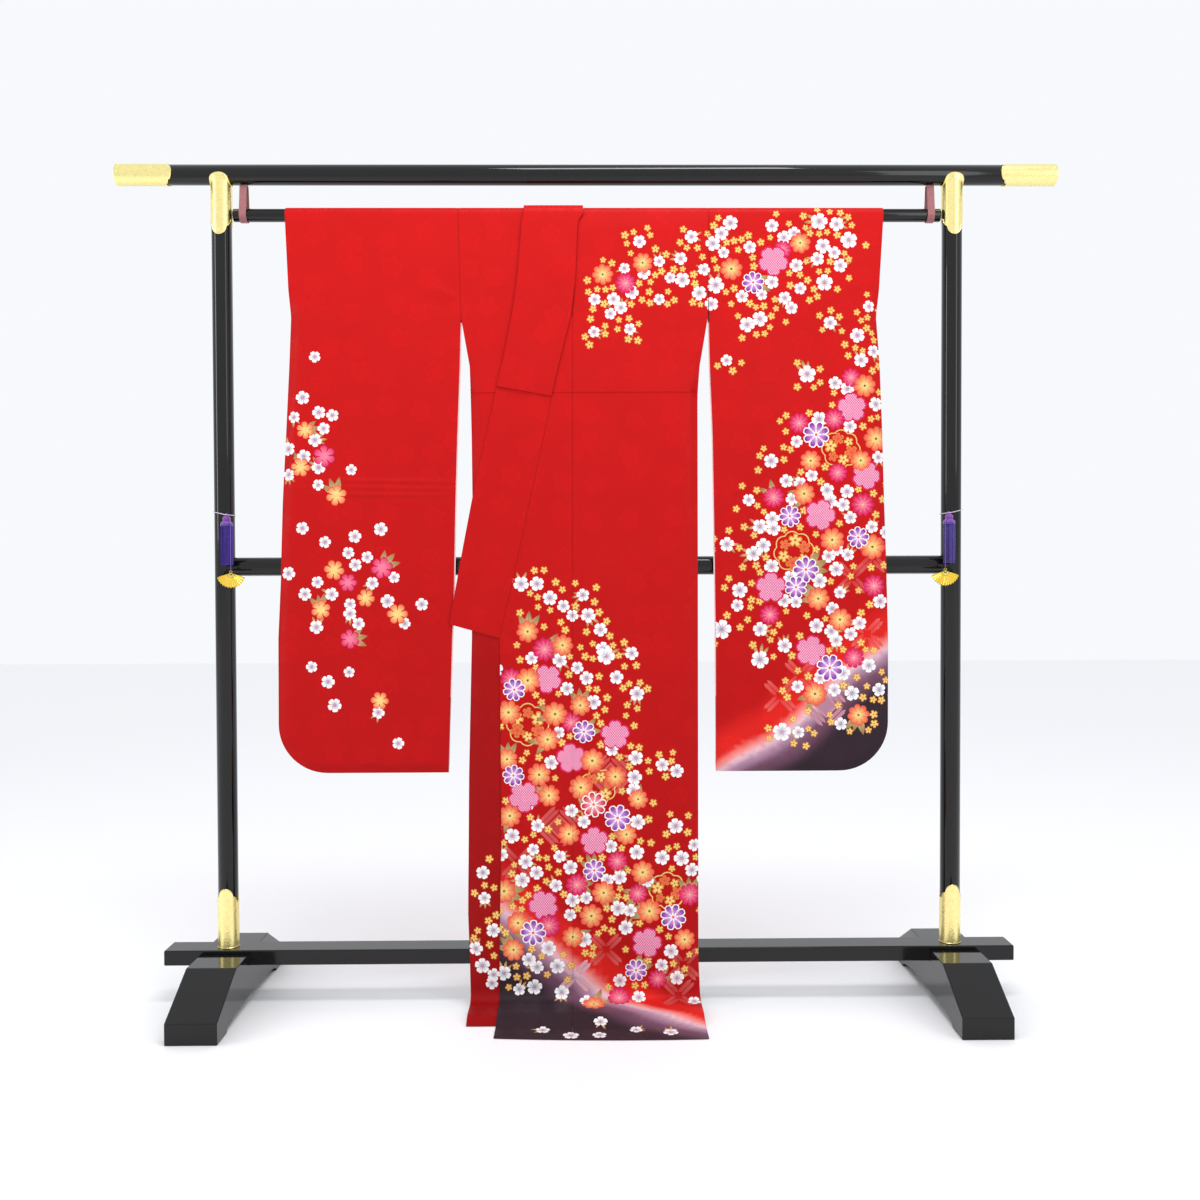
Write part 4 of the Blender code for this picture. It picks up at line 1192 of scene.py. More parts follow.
def right_back_depth(x, level, _):
    """The right back panel, which passes outside the pleat."""
    share = clamp((x - PLEAT_RAMP[0]) / (PLEAT_RAMP[1] - PLEAT_RAMP[0]))
    share *= clamp((ROD_HEIGHT - level) / (ROD_HEIGHT - NECKLINE))
    return back_y(level) + share * (pleat_y(level, 0) - back_y(level))


def left_back_depth(x, level, layer):
    """The left back panel: under the pleat its layer 2, the pleat's own fold, and its layer 1."""
    if layer == 2:
        share = clamp((PLEAT_CLEAR[1] - x) / (PLEAT_CLEAR[1] - PLEAT_CLEAR[0]))
        return back_y(level) + share * (pleat_y(level, 2) - back_y(level))
    return pleat_y(level, layer)


PLEAT_TURN = pi * PLEAT_LAYER / 2
PLEAT_END = PLEAT_FOLD_X - PLEAT_TURN - (PLEAT_TIP_X - PLEAT_FOLD_X)


def across_pleat(u):
    """(X, layer) across the left back: past the fold it comes back on itself."""
    if u >= PLEAT_FOLD_X:
        return u, 2
    turned = PLEAT_FOLD_X - u
    if turned < PLEAT_TURN:
        angle = turned / (PLEAT_LAYER / 2)
        return PLEAT_FOLD_X - PLEAT_LAYER / 2 * sin(angle), 1.5 + 0.5 * cos(angle)
    return PLEAT_FOLD_X + turned - PLEAT_TURN, 1


def pleat_floor(layer):
    """The floor rows of a pleat layer. The fold between layers 1 and 2 lies between them."""
    low, high = BACK_FLOOR[1], BACK_FLOOR[2]
    return tuple((a[0], a[1] + (layer - 1) * (b[1] - a[1])) for a, b in zip(low, high))


# How far inside a sleeve's edge its creases start, how far below the rod, and on the back their
# strength and how far they are moved, out and up
SLEEVE_FOLD_EASE = 50.0
SLEEVE_TOP_EASE = 90.0
BACK_SHARE = 0.8
BACK_SHIFT = (35.0, 60.0)


def sleeve_place(table, creases):
    side = side_of(table)

    def from_edge(x, z, outer_x):
        across, above = abs(outer_x - x), z - SLEEVE_FOOT
        if across < SLEEVE_CORNER and above < SLEEVE_CORNER:
            return SLEEVE_CORNER - hypot(SLEEVE_CORNER - across, SLEEVE_CORNER - above)
        return min(across, above)

    def place(u, along):
        if ROD_HEIGHT < along < BACK_TOP:
            return (u, *over_rod(along))
        front = along <= ROD_HEIGHT
        level = along if front else behind(along)
        own, partner = sleeve_front_y(level), sleeve_back_y(level)
        if not front:
            own, partner = partner, own
        closed = ease((CUFF_END + CUFF_EASE - level) / CUFF_EASE)
        near = from_edge(u, level, between(table, level, 2))
        y = pinched(own, partner, max(near, 0.0), closed)
        inset, lower = ease(near / SLEEVE_FOLD_EASE), ease((ROD_HEIGHT - level) / SLEEVE_TOP_EASE)
        if front:
            return u, y - creased(creases, u, level) * inset * lower, level
        rail = min(1.0, abs(level - MIDDLE_HEIGHT) / BAR_EASE)
        moved = creased(creases, u + side * BACK_SHIFT[0], level + BACK_SHIFT[1])
        return u, y + BACK_SHARE * moved * rail * inset * lower, level

    return place


def spread(low, high, step, close=()):
    """Places from low to high, with more of them close to both ends."""
    places = {low, high}
    for distance in close:
        places.update((low + distance, high - distance))
    inset = max(close) if close else 0.0
    first, last = low + inset, high - inset
    count = max(1, round((last - first) / step))
    places.update(first + (last - first) * k / count for k in range(count + 1))
    return sorted(places)


class Sheet:
    """The cut of one sheet of cloth: rows along it, and its two edges at each row."""

    def __init__(self, rows, edges, place, step=13.0, close=(3.0, 7.0, 12.0, 20.0), columns=()):
        self.rows = rows
        self.edges = edges
        self.place = place
        self.step = step
        self.close = close
        self.columns = columns

    def outline(self):
        low, high = self.rows[0], self.rows[-1]
        first = spread(*self.edges(low), self.step, self.close)
        last = spread(*self.edges(high), self.step, self.close)
        points = [(u, low) for u in first]
        points += [(self.edges(s)[1], s) for s in self.rows[1:-1]]
        points += [(u, high) for u in reversed(last)]
        points += [(self.edges(s)[0], s) for s in reversed(self.rows[1:-1])]
        return points

    def inside(self):
        points = []
        for s in self.rows[1:-1]:
            points += [(u, s) for u in spread(*self.edges(s), self.step, self.close)[1:-1]]
            if s < ROD_HEIGHT:
                points += [(u, s) for u in self.columns]
        return points

    def from_side(self, u, along):
        low, high = self.edges(along)
        return max(0.0, min(u - low, high - u))

    def area(self):
        total = 0.0
        for a, b in zip(self.rows, self.rows[1:]):
            wide = [high - low for low, high in (self.edges(a), self.edges(b))]
            total += sum(wide) / 2 * (b - a)
        return total * MM * MM


def divide(loop, polygons, loose):
    """Triangles of a flat cut: (places, cells, the polygons that hold each cell), and where the
    loop's own corners went."""
    corners = [Vector(p) for p in loop]
    faces = [list(range(len(corners)))]
    for points in polygons:
        faces.append(list(range(len(corners), len(corners) + len(points))))
        corners.extend(Vector(p) for p in points)
    corners.extend(Vector(p) for p in loose)
    flat, _, cells, sources, _, owners = delaunay_2d_cdt(corners, [], faces, 1, 1e-3)
    kept = [(cell, max(owner)) for cell, owner in zip(cells, owners) if 0 in owner]
    used = sorted({v for cell, _ in kept for v in cell})
    index = {v: i for i, v in enumerate(used)}
    came = {source: index[v] for v in used for source in sources[v] if source < len(loop)}
    places = np.array([flat[v] for v in used])
    cells = np.array([[index[v] for v in cell] for cell, _ in kept])
    return places, cells, np.array([top for _, top in kept]), came


def edge_loop(cells):
    """The corners round the outside of a flat set of triangles, in order."""
    onward = {}
    directed = {(a, b) for cell in cells for a, b in zip(cell, np.roll(cell, -1))}
    for a, b in directed:
        if (b, a) not in directed:
            onward[a] = b
    first = next(iter(onward))
    loop = [first]
    while onward[loop[-1]] != first:
        loop.append(onward[loop[-1]])
    return loop


def offset(points, cells, amount):
    """Moves the corners of a mesh along their normals."""
    a, b, c = (points[cells[:, k]] for k in range(3))
    across = np.cross(b - a, c - a)
    normals = np.zeros_like(points)
    for k in range(3):
        np.add.at(normals, cells[:, k], across)
    return points + normals * (amount / np.linalg.norm(normals, axis=1))[:, None]


def make_cloth(name, sheet, design, ground, materials):
    """A sheet with its dyed face divided along the design, a plain inner face and a rim."""
    places, cells, tops, _ = divide(sheet.outline(), [dyed.points for dyed in design],
                                    sheet.inside())
    outer_loop = edge_loop(cells.tolist())
    loop = [tuple(places[v]) for v in outer_loop]
    back_places, back_cells, _, came = divide(loop, [], sheet.inside())
    inner_loop = [came[k] for k in range(len(loop))]
    from_side = np.array([sheet.from_side(*p) for p in places.tolist()])
    hollow = SEAM_HOLLOW * (1 - np.clip(from_side / HOLLOW_WIDTH, 0, 1)) ** 2
    outer = offset(np.array([sheet.place(*p) for p in places.tolist()]), cells, WALL / 2 - hollow)
    inner = offset(np.array([sheet.place(*p) for p in back_places.tolist()]), back_cells, -WALL / 2)
    base = len(outer)
    faces = cells.tolist() + (back_cells[:, ::-1] + base).tolist()
    rim = []
    for k in range(len(loop)):
        following = (k + 1) % len(loop)
        rim.append((outer_loop[following], outer_loop[k], base + inner_loop[k],
                    base + inner_loop[following]))
    mesh = bpy.data.meshes.new(name)
    mesh.from_pydata((np.vstack((outer, inner)) * MM).tolist(), [], faces + rim)
    parts = np.repeat((0, 1, 0), (len(cells), len(back_cells), len(rim)))
    mesh.polygons.foreach_set("material_index", parts)
    count = len(mesh.loops)
    order = np.zeros(count, dtype=np.int32)
    mesh.loops.foreach_get("vertex_index", order)
    at = np.vstack((places, back_places))[order]
    colours, gilding, knots = ground(at[:, 0], at[:, 1]), np.zeros(count), np.zeros(count)
    # Painted shade: the rim's faces are darkened
    colours[-4 * len(rim):] *= RIM_SHADE
    if design:
        tops = np.concatenate((np.repeat(tops, 3), np.zeros(count - 3 * len(cells), dtype=int)))
        held = np.array([dyed.paint for dyed in design])[np.maximum(tops, 1) - 1]
        away = np.hypot(at[:, 0] - held[:, 0], at[:, 1] - held[:, 1])
        share = np.clip((away - held[:, 2]) / (held[:, 3] - held[:, 2]), 0, 1)[:, None]
        mixed = held[:, 4:7] * (1 - share) + held[:, 7:10] * share
        colours = np.where((tops > 0)[:, None], mixed, colours)
        gilding, knots = (np.where(tops > 0, held[:, k], 0.0) for k in (10, 11))
    shaded = np.concatenate((from_side, np.full(len(back_places), SHADE_WIDTH)))[order]
    # Painted shade along the cut's edges
    colours = colours * (1 - SEAM_SHADE * (1 - np.clip(shaded / SHADE_WIDTH, 0, 1)))[:, None]
    dye = mesh.attributes.new("dye", "FLOAT_COLOR", "CORNER")
    dye.data.foreach_set("color", np.column_stack((colours, np.ones(count))).ravel())
    for word, values in (("gilt", gilding), ("knots", knots)):
        mesh.attributes.new(word, "FLOAT", "CORNER").data.foreach_set("value", values)
    layer = mesh.uv_layers.new(name=FLAT)
    layer.data.foreach_set("uv", (at * MM).ravel())
    for material in materials:
        mesh.materials.append(material)
    mesh.shade_smooth()
    mesh.set_sharp_from_angle(angle=radians(50))
    return add_object(name, mesh)


class Dyed:
    """One dyed shape: its outline, and a colour that changes with the distance from a place."""

    def __init__(self, points, centre, near, far, inner, outer, gilding=0.0, knots=0.0):
        turned = sum(a[0] * b[1] - b[0] * a[1] for a, b in zip(points, points[1:] + points[:1]))
        self.points = points if turned > 0 else points[::-1]
        self.paint = (*centre, near, far, *inner, *outer, gilding, knots)


def plain(points, colour, **finish):
    return Dyed(points, (0.0, 0.0), 0.0, 1.0, colour, colour, **finish)


def around(centre, radius, turned, profile):
    """Puts a profile of (out, across) shares round a centre, its axis turned by an angle."""
    c, s = cos(turned), sin(turned)
    return [(centre[0] + radius * (a * c - b * s), centre[1] + radius * (a * s + b * c))
            for a, b in profile]


def closed(root, half, tip=None):
    """A petal's whole profile from its lower half."""
    profile = [(root, 0.0)] + [(a, -b) for a, b in half]
    if tip:
        profile.append((tip, 0.0))
    return profile + [(a, b) for a, b in reversed(half)]


# Petals as shares of a flower's radius: (out, half width). A tip short of the last is a notch.
CHERRY = closed(0.05, ((0.3, 0.2), (0.6, 0.4), (0.86, 0.39), (1.0, 0.15)), 0.94)
ROUND = closed(0.05, ((0.5, 0.21), (0.76, 0.3), (0.93, 0.2)), 1.0)
BROAD = closed(0.05, ((0.4, 0.22), (0.72, 0.35), (0.93, 0.24)), 1.0)
NARROW = closed(0.05, ((0.5, 0.16), (0.82, 0.24), (0.96, 0.14)), 1.0)
DAISY = closed(0.12, ((0.42, 0.16), (0.72, 0.29), (0.93, 0.22)), 1.0)
LEAF = closed(0.0, ((0.3, 0.13), (0.55, 0.17), (0.82, 0.09)), 1.0)
SPEAR = closed(0.0, ((0.4, 0.07), (0.7, 0.1), (0.88, 0.06)), 1.0)

WHITE = linear(238, 234, 234)
HAZE = linear(166, 164, 186)
SMOKE = linear(132, 130, 172)
GOLD = linear(230, 198, 112)
OCHRE = linear(204, 128, 58)
RUST = linear(186, 82, 40)
PEACH = linear(236, 198, 124)
CORAL = linear(224, 96, 70)
FLAME = linear(214, 78, 58)
MOSS = linear(96, 104, 50)
ROSE = linear(232, 118, 146)
MAGENTA = linear(206, 36, 90)
WINE = linear(186, 24, 72)
PURPLE = linear(116, 44, 140)
MAUVE = linear(200, 142, 214)
CRIMSON = linear(196, 34, 62)
SHELL = linear(230, 146, 150)
PINK = linear(206, 84, 134)
TAN = linear(206, 142, 100)
BARK = linear(132, 104, 66)
RING_GOLD = linear(232, 196, 112)

Bloom = namedtuple("Bloom", "reach count petal rim inner outer fade heart rays eye eye_share slim")
BLOOMS = {
    "w": Bloom(13.2, 5, CHERRY, None, HAZE, WHITE, (0.12, 0.56), None, SMOKE, TAN, 0.12, 1.0),
    "W": Bloom(17.0, 5, CHERRY, None, HAZE, WHITE, (0.1, 0.54), None, SMOKE, TAN, 0.1, 1.0),
    "o": Bloom(22.0, 8, ROUND, FLAME, PEACH, CORAL, (0.2, 0.8), PEACH, None, MOSS, 0.11, 0.86),
    "s": Bloom(20.0, 6, BROAD, FLAME, PEACH, CORAL, (0.3, 1.0), PEACH, None, PEACH, 0.3, 0.86),
    "m": Bloom(21.0, 10, NARROW, WINE, ROSE, MAGENTA, (0.1, 0.8), ROSE, SHELL, PEACH, 0.08, 0.88),
    "n": Bloom(22.0, 6, BROAD, WINE, ROSE, MAGENTA, (0.25, 1.0), ROSE, None, ROSE, 0.3, 0.86),
    "p": Bloom(24.0, 8, DAISY, WHITE, MAUVE, PURPLE, (0.3, 0.85), WHITE, None, CORAL, 0.12, 0.7),
    "r": Bloom(23.0, 8, DAISY, WHITE, SHELL, CRIMSON, (0.3, 0.82), WHITE, None, CORAL, 0.12, 0.7),
}
BUD_REACH = 7.7
PATCH_REACH = 28.0
RING_REACH = 38.0
LATTICE_REACH = 42.0
# The share of flowers with leaves, how far a spot is moved at random, and tries for each small one
LEAFY = {"w": 0.4, "y": 0.0}
MOST_LEAFY = 0.5
JITTER = 3.5
TRIES = 30


def disc(centre, radius, colour, sides, turned):
    return plain([polar(centre, radius, turned + a) for a in turn(sides)], colour)


def lobed(centre, radius, turned, lobe):
    """The outline of a small flower of five round petals, each given as (reach, turn) pairs."""
    return [polar(centre, radius * r, turned + a + b) for a in turn(5) for r, b in lobe]


BUD_RIM = ((0.55, -0.628), (0.94, -0.36), (1.0, 0.0), (0.94, 0.36))
BUD_FACE = ((0.4, -0.628), (0.95, -0.26), (0.95, 0.26))
RAY = ((0.1, -0.022), (0.78, 0.0), (0.1, 0.022))
VEIN = ((0.3, -0.012), (0.95, 0.0), (0.3, 0.012))
STRIP = ((0.12, 0.0), (0.24, -0.08), (0.8, -0.085), (0.94, 0.0), (0.8, 0.085), (0.24, 0.08))
DIAMOND = ((1, 0), (0, 1), (-1, 0), (0, -1))


def bud(centre, radius, turned, rim, inner, outer, eye):
    """A small flower in two outlines, one inside the other."""
    return [plain(lobed(centre, radius, turned, BUD_RIM), rim),
            Dyed(lobed(centre, 0.84 * radius, turned, BUD_FACE), centre, 0.2 * radius, radius,
                 inner, outer),
            disc(centre, 0.2 * radius, eye, 5, turned)]


def bloom(kind, centre, radius, turned):
    """A flower: rims, the heart, its petals inside the rims, fine rays and the eye."""
    if kind == "y":
        return bud(centre, radius, turned, OCHRE, GOLD, GOLD, RUST)
    _, count, petal, rim, inner, outer, fade, heart, rays, eye, eye_share, slim = BLOOMS[kind]
    angles = [turned + a for a in turn(count)]
    shapes = []
    if rim:
        shapes += [plain(around(centre, radius, a, petal), rim) for a in angles]
        petal = [(0.03 + 0.9 * a, slim * b) for a, b in petal]
    if heart:
        shapes.append(disc(centre, 0.36 * radius, heart, 12, turned))
    shapes += [Dyed(around(centre, radius, a, petal), centre, fade[0] * radius, fade[1] * radius,
                    inner, outer) for a in angles]
    if rays:
        shapes += [plain(around(centre, radius, a, RAY), rays) for a in angles]
    return shapes + [disc(centre, eye_share * radius, eye, 6, turned)]


PATCH_HALO = 3.2
RING_STEPS = 48
RING_LINE = 1.2


def patch(centre, radius, turned):
    """A tie-dyed patch with five scalloped lobes, in a magenta halo."""
    reach = []
    for k, a in enumerate(turn(40)):
        scallop = 0.035 if k % 4 else -0.035
        reach.append((a + turned, radius * (0.72 + 0.24 * abs(cos(2.5 * a)) ** 0.7 + scallop)))
    halo, field = ([polar(centre, r + more, a) for a, r in reach] for more in (PATCH_HALO, 0.0))
    return [plain(halo, MAGENTA), plain(field, PINK, knots=1.0)]


def ring(centre, radius, turned):
    """A scalloped gold line round a ring of small flowers."""
    shapes = []
    for k in range(RING_STEPS):
        corners = []
        for at, way in ((k, -1), (k, 1), (k + 1, 1), (k + 1, -1)):
            a = 2 * pi * at / RING_STEPS
            reach = radius * (0.88 + 0.12 * abs(cos(4 * a))) + way * RING_LINE
            corners.append(polar(centre, reach, a + turned))
        shapes.append(plain(corners, RING_GOLD, gilding=0.8))
    for k, a in enumerate(turn(6)):
        inner, outer = (PEACH, GOLD) if k % 2 else (CORAL, FLAME)
        size = radius * (0.26 + 0.05 * (k % 3))
        shapes += bud(polar(centre, 0.56 * radius, a + turned), size, a, OCHRE, inner, outer, RUST)
    return shapes


def leaves(centre, radius, turned, wide, chance):
    """Two or three leaves that look out from under a flower."""
    shapes = []
    pale = linear(184, 152, 104) if wide else linear(216, 164, 112)
    for bend in chance.choice(((-0.4, 0.4), (-0.55, 0.0, 0.55), (-0.7, -0.25, 0.3))):
        size = radius * chance.uniform(1.5, 1.85)
        shapes.append(Dyed(around(centre, size, turned + bend, LEAF if wide else SPEAR), centre,
                           0.5 * size, size, pale, BARK))
        shapes.append(plain(around(centre, size, turned + bend, VEIN), BARK if wide else pale))
    return shapes


def lattice(centre, size, ground, crossed):
    """A cross of paired strips, or a diamond of them round a smaller one, paler than the ground."""
    base = ground(np.array([centre[0]]), np.array([centre[1]]))[0]
    tint = linear(244, 152, 148) if base[0] > 0.2 else linear(186, 160, 190)
    pale, faint = ([base[k] * (1 - share) + tint[k] * share for k in range(3)]
                   for share in (0.3, 0.12))
    shapes = []
    for turned in (pi / 4, 3 * pi / 4, 5 * pi / 4, 7 * pi / 4):
        for shift in (-0.1, 0.1):
            if crossed:
                profile = [(a, b + shift) for a, b in STRIP]
            else:
                profile = [(0.66 + shift + b, 1.3 * (a - 0.53)) for a, b in STRIP]
            shapes.append(Dyed(around(centre, size, turned, profile), centre, 0.3 * size, size,
                               faint, pale))
    if not crossed:
        for reach, tone in ((0.56, pale), (0.44, faint)):
            shapes.append(plain(around(centre, reach * size, 0.0, DIAMOND), tone))
    return shapes


def reach_of(kind):
    return BUD_REACH if kind == "y" else BLOOMS[kind].reach


class Field:
    """Motifs over one stretch of cloth, by layers. Spots are in centimetres, as it hangs."""

    def __init__(self, seed, ground, placed=lambda x, y: (x, y)):
        self.chance = Random(seed)
        self.ground = ground
        self.placed = placed
        self.layers = {"under": [], "small": [], "large": []}
        self.taken = []
        self.roots = []

    def put(self, kind, x, y, scale=1.0):
        chance = self.chance
        turned = chance.uniform(0, 2 * pi)
        if kind in "kg":
            radius = (PATCH_REACH if kind == "k" else RING_REACH) * chance.uniform(0.92, 1.08)
            shapes = (patch if kind == "k" else ring)((x, y), radius, turned)
        else:
            radius = scale * reach_of(kind) * chance.uniform(0.9, 1.15)
            shapes = bloom(kind, (x, y), radius, turned)
            if chance.random() < LEAFY.get(kind, MOST_LEAFY):
                self.layers["under"] += leaves((x, y), radius, turned + 0.6, kind not in "wW",
                                               chance)
        layer = "under" if kind == "g" else "small" if kind in "wWy" else "large"
        self.layers[layer] += shapes
        self.taken.append((x, y, radius))
        if kind != "y":
            self.roots.append((x, y, radius))

    def plant(self, table, scale=1.0):
        """A motif near each of the table's spots."""
        for kind, spots in table.items():
            for spot in spots:
                x, y = self.placed(*(10.0 * c + self.chance.gauss(0, JITTER) for c in spot))
                self.put(kind, x, y, scale)

    def sprinkle(self, kind, count, scale=1.0, reach=11.0):
        """Small flowers in sprays, each beside a larger one that is already there."""
        for _ in range(count * TRIES):
            if count == 0:
                return
            a, b, r = self.chance.choice(self.roots)
            away = r + reach_of(kind) + self.chance.uniform(-1.0, reach)
            angle = self.chance.uniform(0, 2 * pi)
            x, y = polar((a, b), away, angle)
            clear = all(hypot(x - a, y - b) > 0.9 * (reach_of(kind) + r) for a, b, r in self.taken)
            if clear and y > BEND_LEVEL:
                self.put(kind, x, y, scale)
                count -= 1

    def lattices(self, spots):
        for k, spot in enumerate(spots):
            centre = self.placed(*(10.0 * c for c in spot))
            self.layers["under"] += lattice(centre, LATTICE_REACH, self.ground, k % 5 != 1)

    def shapes(self):
        return self.layers["under"] + self.layers["small"] + self.layers["large"]


def on_sheet(shapes, sheet):
    """The shapes that reach a sheet's cut."""
    low, high = sheet.rows[0], sheet.rows[-1]
    kept = []
    for dyed in shapes:
        xs, ys = zip(*dyed.points)
        if max(ys) < low or min(ys) > high:
            continue
        left, right = sheet.edges(clamp(sum(ys) / len(ys), low, high))
        if max(xs) > left - 2 and min(xs) < right + 2:
            kept.append(dyed)
    return kept


def rows_of(start, *stretches):
    """Rows along a cut: from start through stretches of (end, step), with the last end added."""
    rows = []
    for end, step in stretches:
        count = max(1, round(abs(end - start) / step))
        rows += [start + (end - start) * k / count for k in range(count)]
        start = end
    return rows + [start]


def floor_level(front, floor, along):
    """Height of a place on a front's run along the floor."""
    return floor_place(front(BEND_LEVEL), floor, BEND_LEVEL - along)[1]


# Columns of points beside the line pressed down the left front
PRESSED_COLUMNS = tuple(PRESSED_X + d for d in (-6.0, -3.5, -1.8, 0.0, 1.8, 3.5))
NECK_NOTCH = 0.4


def body_sheet(table, front, floor, bow, across_back, depth, back_floor, back_inner, columns=()):
    """A body panel: up the front, over the rod and down the back, which is cut wider at the neck."""
    hem = BEND_LEVEL - floor_length(front(BEND_LEVEL), floor)
    far = behind(BEND_LEVEL) + floor_length(BACK_AT_BEND, BACK_FLOOR[0])
    neck = behind(NECKLINE)
    above = TUCK_LEVEL + TUCK_EDGE
    rows = rows_of(hem, (BEND_LEVEL, BEND_ROW), (TUCK_LEVEL, ROW), (above, ROW), (ROD_HEIGHT, ROW),
                   (BACK_TOP, ROD_ROW), (neck, BEND_ROW), (neck + NECK_NOTCH, ROW),
                   (behind(above), ROW), (behind(TUCK_LEVEL), ROW), (behind(BEND_LEVEL), ROW),
                   (far, BEND_ROW))

    def edges(along):
        if along < BEND_LEVEL:
            level = floor_level(front, floor, along)
        else:
            level = min(along, behind(along), ROD_HEIGHT)
        side_x = between(table, max(level, 0.0), 1)
        inner = between(table, max(level, 0.0), 2) if along <= neck else back_inner
        return min(side_x, inner), max(side_x, inner)

    place = body_place(table, front, floor, bow, across_back, depth, back_floor)
    return Sheet(rows, edges, place, columns=columns)


def overlap_sheet(seam_table, free_table, table, front, floor, bow):
    side = side_of(free_table)
    hem = BEND_LEVEL - floor_length(front(BEND_LEVEL), floor)
    rows = rows_of(hem, (BEND_LEVEL, BEND_ROW), (COLLAR_FOOT, ROW), (TUCK_LEVEL, ROW),
                   (TUCK_LEVEL + TUCK_EDGE, ROW), (OVERLAP_TIP, ROW))

    def edges(along):
        level = floor_level(front, floor, along) if along < BEND_LEVEL else along
        seam = between(table, level, 2) + side * GAP
        if level >= COLLAR_FOOT:
            free = between(seam_table, level, 1) - side * GAP
        else:
            free = between(free_table, level, 1)
        return min(seam, free), max(seam, free)

    return Sheet(rows, edges, front_place(table, front, floor, bow), close=(3.0,))


# The levels that take finer rows on the sleeves: the storage creases and the shoulder's
STORED = (974.0, 1034.0)
PRESSED = (1330.0, 1420.0)
STORED_ROW = 3.0
PRESSED_ROW = 5.0


def sleeve_sheet(table, creases):
    """The rounded foot corner is in the edges: the outer edge draws in as the foot comes near."""
    side = side_of(table)

    def edges(along):
        level = min(along, behind(along), ROD_HEIGHT)
        inner, outer = between(table, level, 1), between(table, level, 2)
        above = level - SLEEVE_FOOT
        if above < SLEEVE_CORNER:
            inset = SLEEVE_CORNER - sqrt(max(0.0, SLEEVE_CORNER ** 2 - (SLEEVE_CORNER - above) ** 2))
            outer -= side * inset
        return min(inner, outer), max(inner, outer)

    arc = [SLEEVE_FOOT + SLEEVE_CORNER * (1 - cos(pi / 2 * k / 14)) for k in range(14)]
    corner = SLEEVE_FOOT + SLEEVE_CORNER
    rows = arc + rows_of(corner, (STORED[0], ROW), (STORED[1], STORED_ROW), (PRESSED[0], ROW),
                         (PRESSED[1], PRESSED_ROW), (ROD_HEIGHT, ROW), (BACK_TOP, ROD_ROW),
                         (behind(corner), ROW))
    rows += [behind(level) for level in reversed(arc)]
    return Sheet(rows, edges, sleeve_place(table, creases))


def collar_point(table, out, share, along):
    """A point of the left collar: along is the seam's height, then the way round the neck."""
    if along <= ROD_HEIGHT:
        seam_x, free_z, free_x = (between(table, along, c) for c in (1, 2, 3))
        x, z = seam_x + share * (free_x - seam_x), along + share * (free_z - along)
        return x, front_y(z) - out - front_fold(x, z), z
    seam_x, free_x = table[0][1], table[0][3]
    if along < BACK_TOP:
        return (seam_x + share * (free_x - seam_x), *over_rod(along, ROD_FOLD + out))
    if along < NECK_CORNER:
        near = (along - BACK_TOP) / (NECK_CORNER - BACK_TOP)
        free = free_x + near * (seam_x - NECK_INSIDE - NECK_TURN_WIDTH - free_x)
        return (seam_x + share * (free - seam_x) - NECK_INSIDE * near * (1 - share),
                ROD_FOLD + out + near * (pleat_y(NECK_TURN_Z, 0) - ROD_FOLD), behind(along))
    turned = (along - NECK_CORNER) / NECK_ARC
    if turned < 1:
        wide = NECK_TURN_WIDTH + (NECK_WIDTH - NECK_TURN_WIDTH) * ease(turned)
        radius = NECK_INSIDE + share * wide
        x, z = polar((seam_x, NECK_TURN_Z), radius, pi + pi / 2 * turned)
        return x, pleat_y(z, 0) + out, z
    z = NECK_TURN_Z - NECK_INSIDE - share * NECK_WIDTH
    return seam_x + (along - NECK_CORNER - NECK_ARC), pleat_y(z, 0) + out, z


def left_collar_sheet(foot_level, out):
    straight = NECK_CORNER + NECK_ARC
    rows = rows_of(foot_level, (ROD_HEIGHT, ROW), (BACK_TOP, ROD_ROW), (NECK_CORNER, BEND_ROW),
                   (straight, NECK_ROW), (straight + PLEAT_TIP_X - LEFT_COLLAR[0][1], BAND_ROW))
    return Sheet(rows, lambda along: (-COLLAR_CUT, 0.0),
                 lambda u, along: collar_point(LEFT_COLLAR, out, -u / COLLAR_CUT, along),
                 step=11.0, close=(3.0,))


def right_collar_sheet():
    def place(u, along):
        share = u / RIGHT_COLLAR_CUT
        seam_x, free_x = between(RIGHT_COLLAR, along, 1), between(RIGHT_COLLAR, along, 2)
        x, z = seam_x + share * (free_x - seam_x), along + share * RIGHT_COLLAR_RISE
        return x, front_y(z) - front_fold(x, z), z

    rows = rows_of(COLLAR_FOOT, (RIGHT_COLLAR[0][0], ROW))
    return Sheet(rows, lambda along: (0.0, RIGHT_COLLAR_CUT), place, step=14.0, close=())


def lining_sheet(table):
    side = side_of(table)

    def place(u, along):
        edge = between(table, along, 1) - side * LINING_SHOWS
        y = sleeve_front_y(along) + SILK / 2 + GAP + LINING_WALL / 2
        return (edge + u if side > 0 else edge - LINING_STRIP + u), y, along

    rows = rows_of(LINING_LEVELS[0], (LINING_LEVELS[1], 12.0))
    return Sheet(rows, lambda along: (0.0, LINING_STRIP), place, step=6.0, close=())


# The red at the top and at the foot: the change between them is painted light, brighter high up and
# darker low down
RED_TOP = linear(194, 17, 17)
RED_FOOT = linear(164, 6, 10)
VERMILION = linear(208, 30, 24)
CORAL_PINK = linear(232, 128, 120)
BLUSH = linear(216, 178, 188)
THISTLE = linear(164, 124, 148)
HEATHER = linear(106, 70, 90)
AUBERGINE = linear(48, 34, 42)

# The tide line of the dyed hem: (across, along), and the dark lies below it
HEM_TIDE = ((-300.0, 272.0), (-176.0, 212.0), (-59.0, 108.0), (18.0, 42.0), (116.0, -28.0),
            (213.0, -78.0), (300.0, -110.0))
SLEEVE_TIDE = ((150.0, 420.0), (243.0, 462.0), (350.0, 524.0), (409.0, 573.0), (506.0, 664.0),
               (580.0, 712.0), (680.0, 760.0))
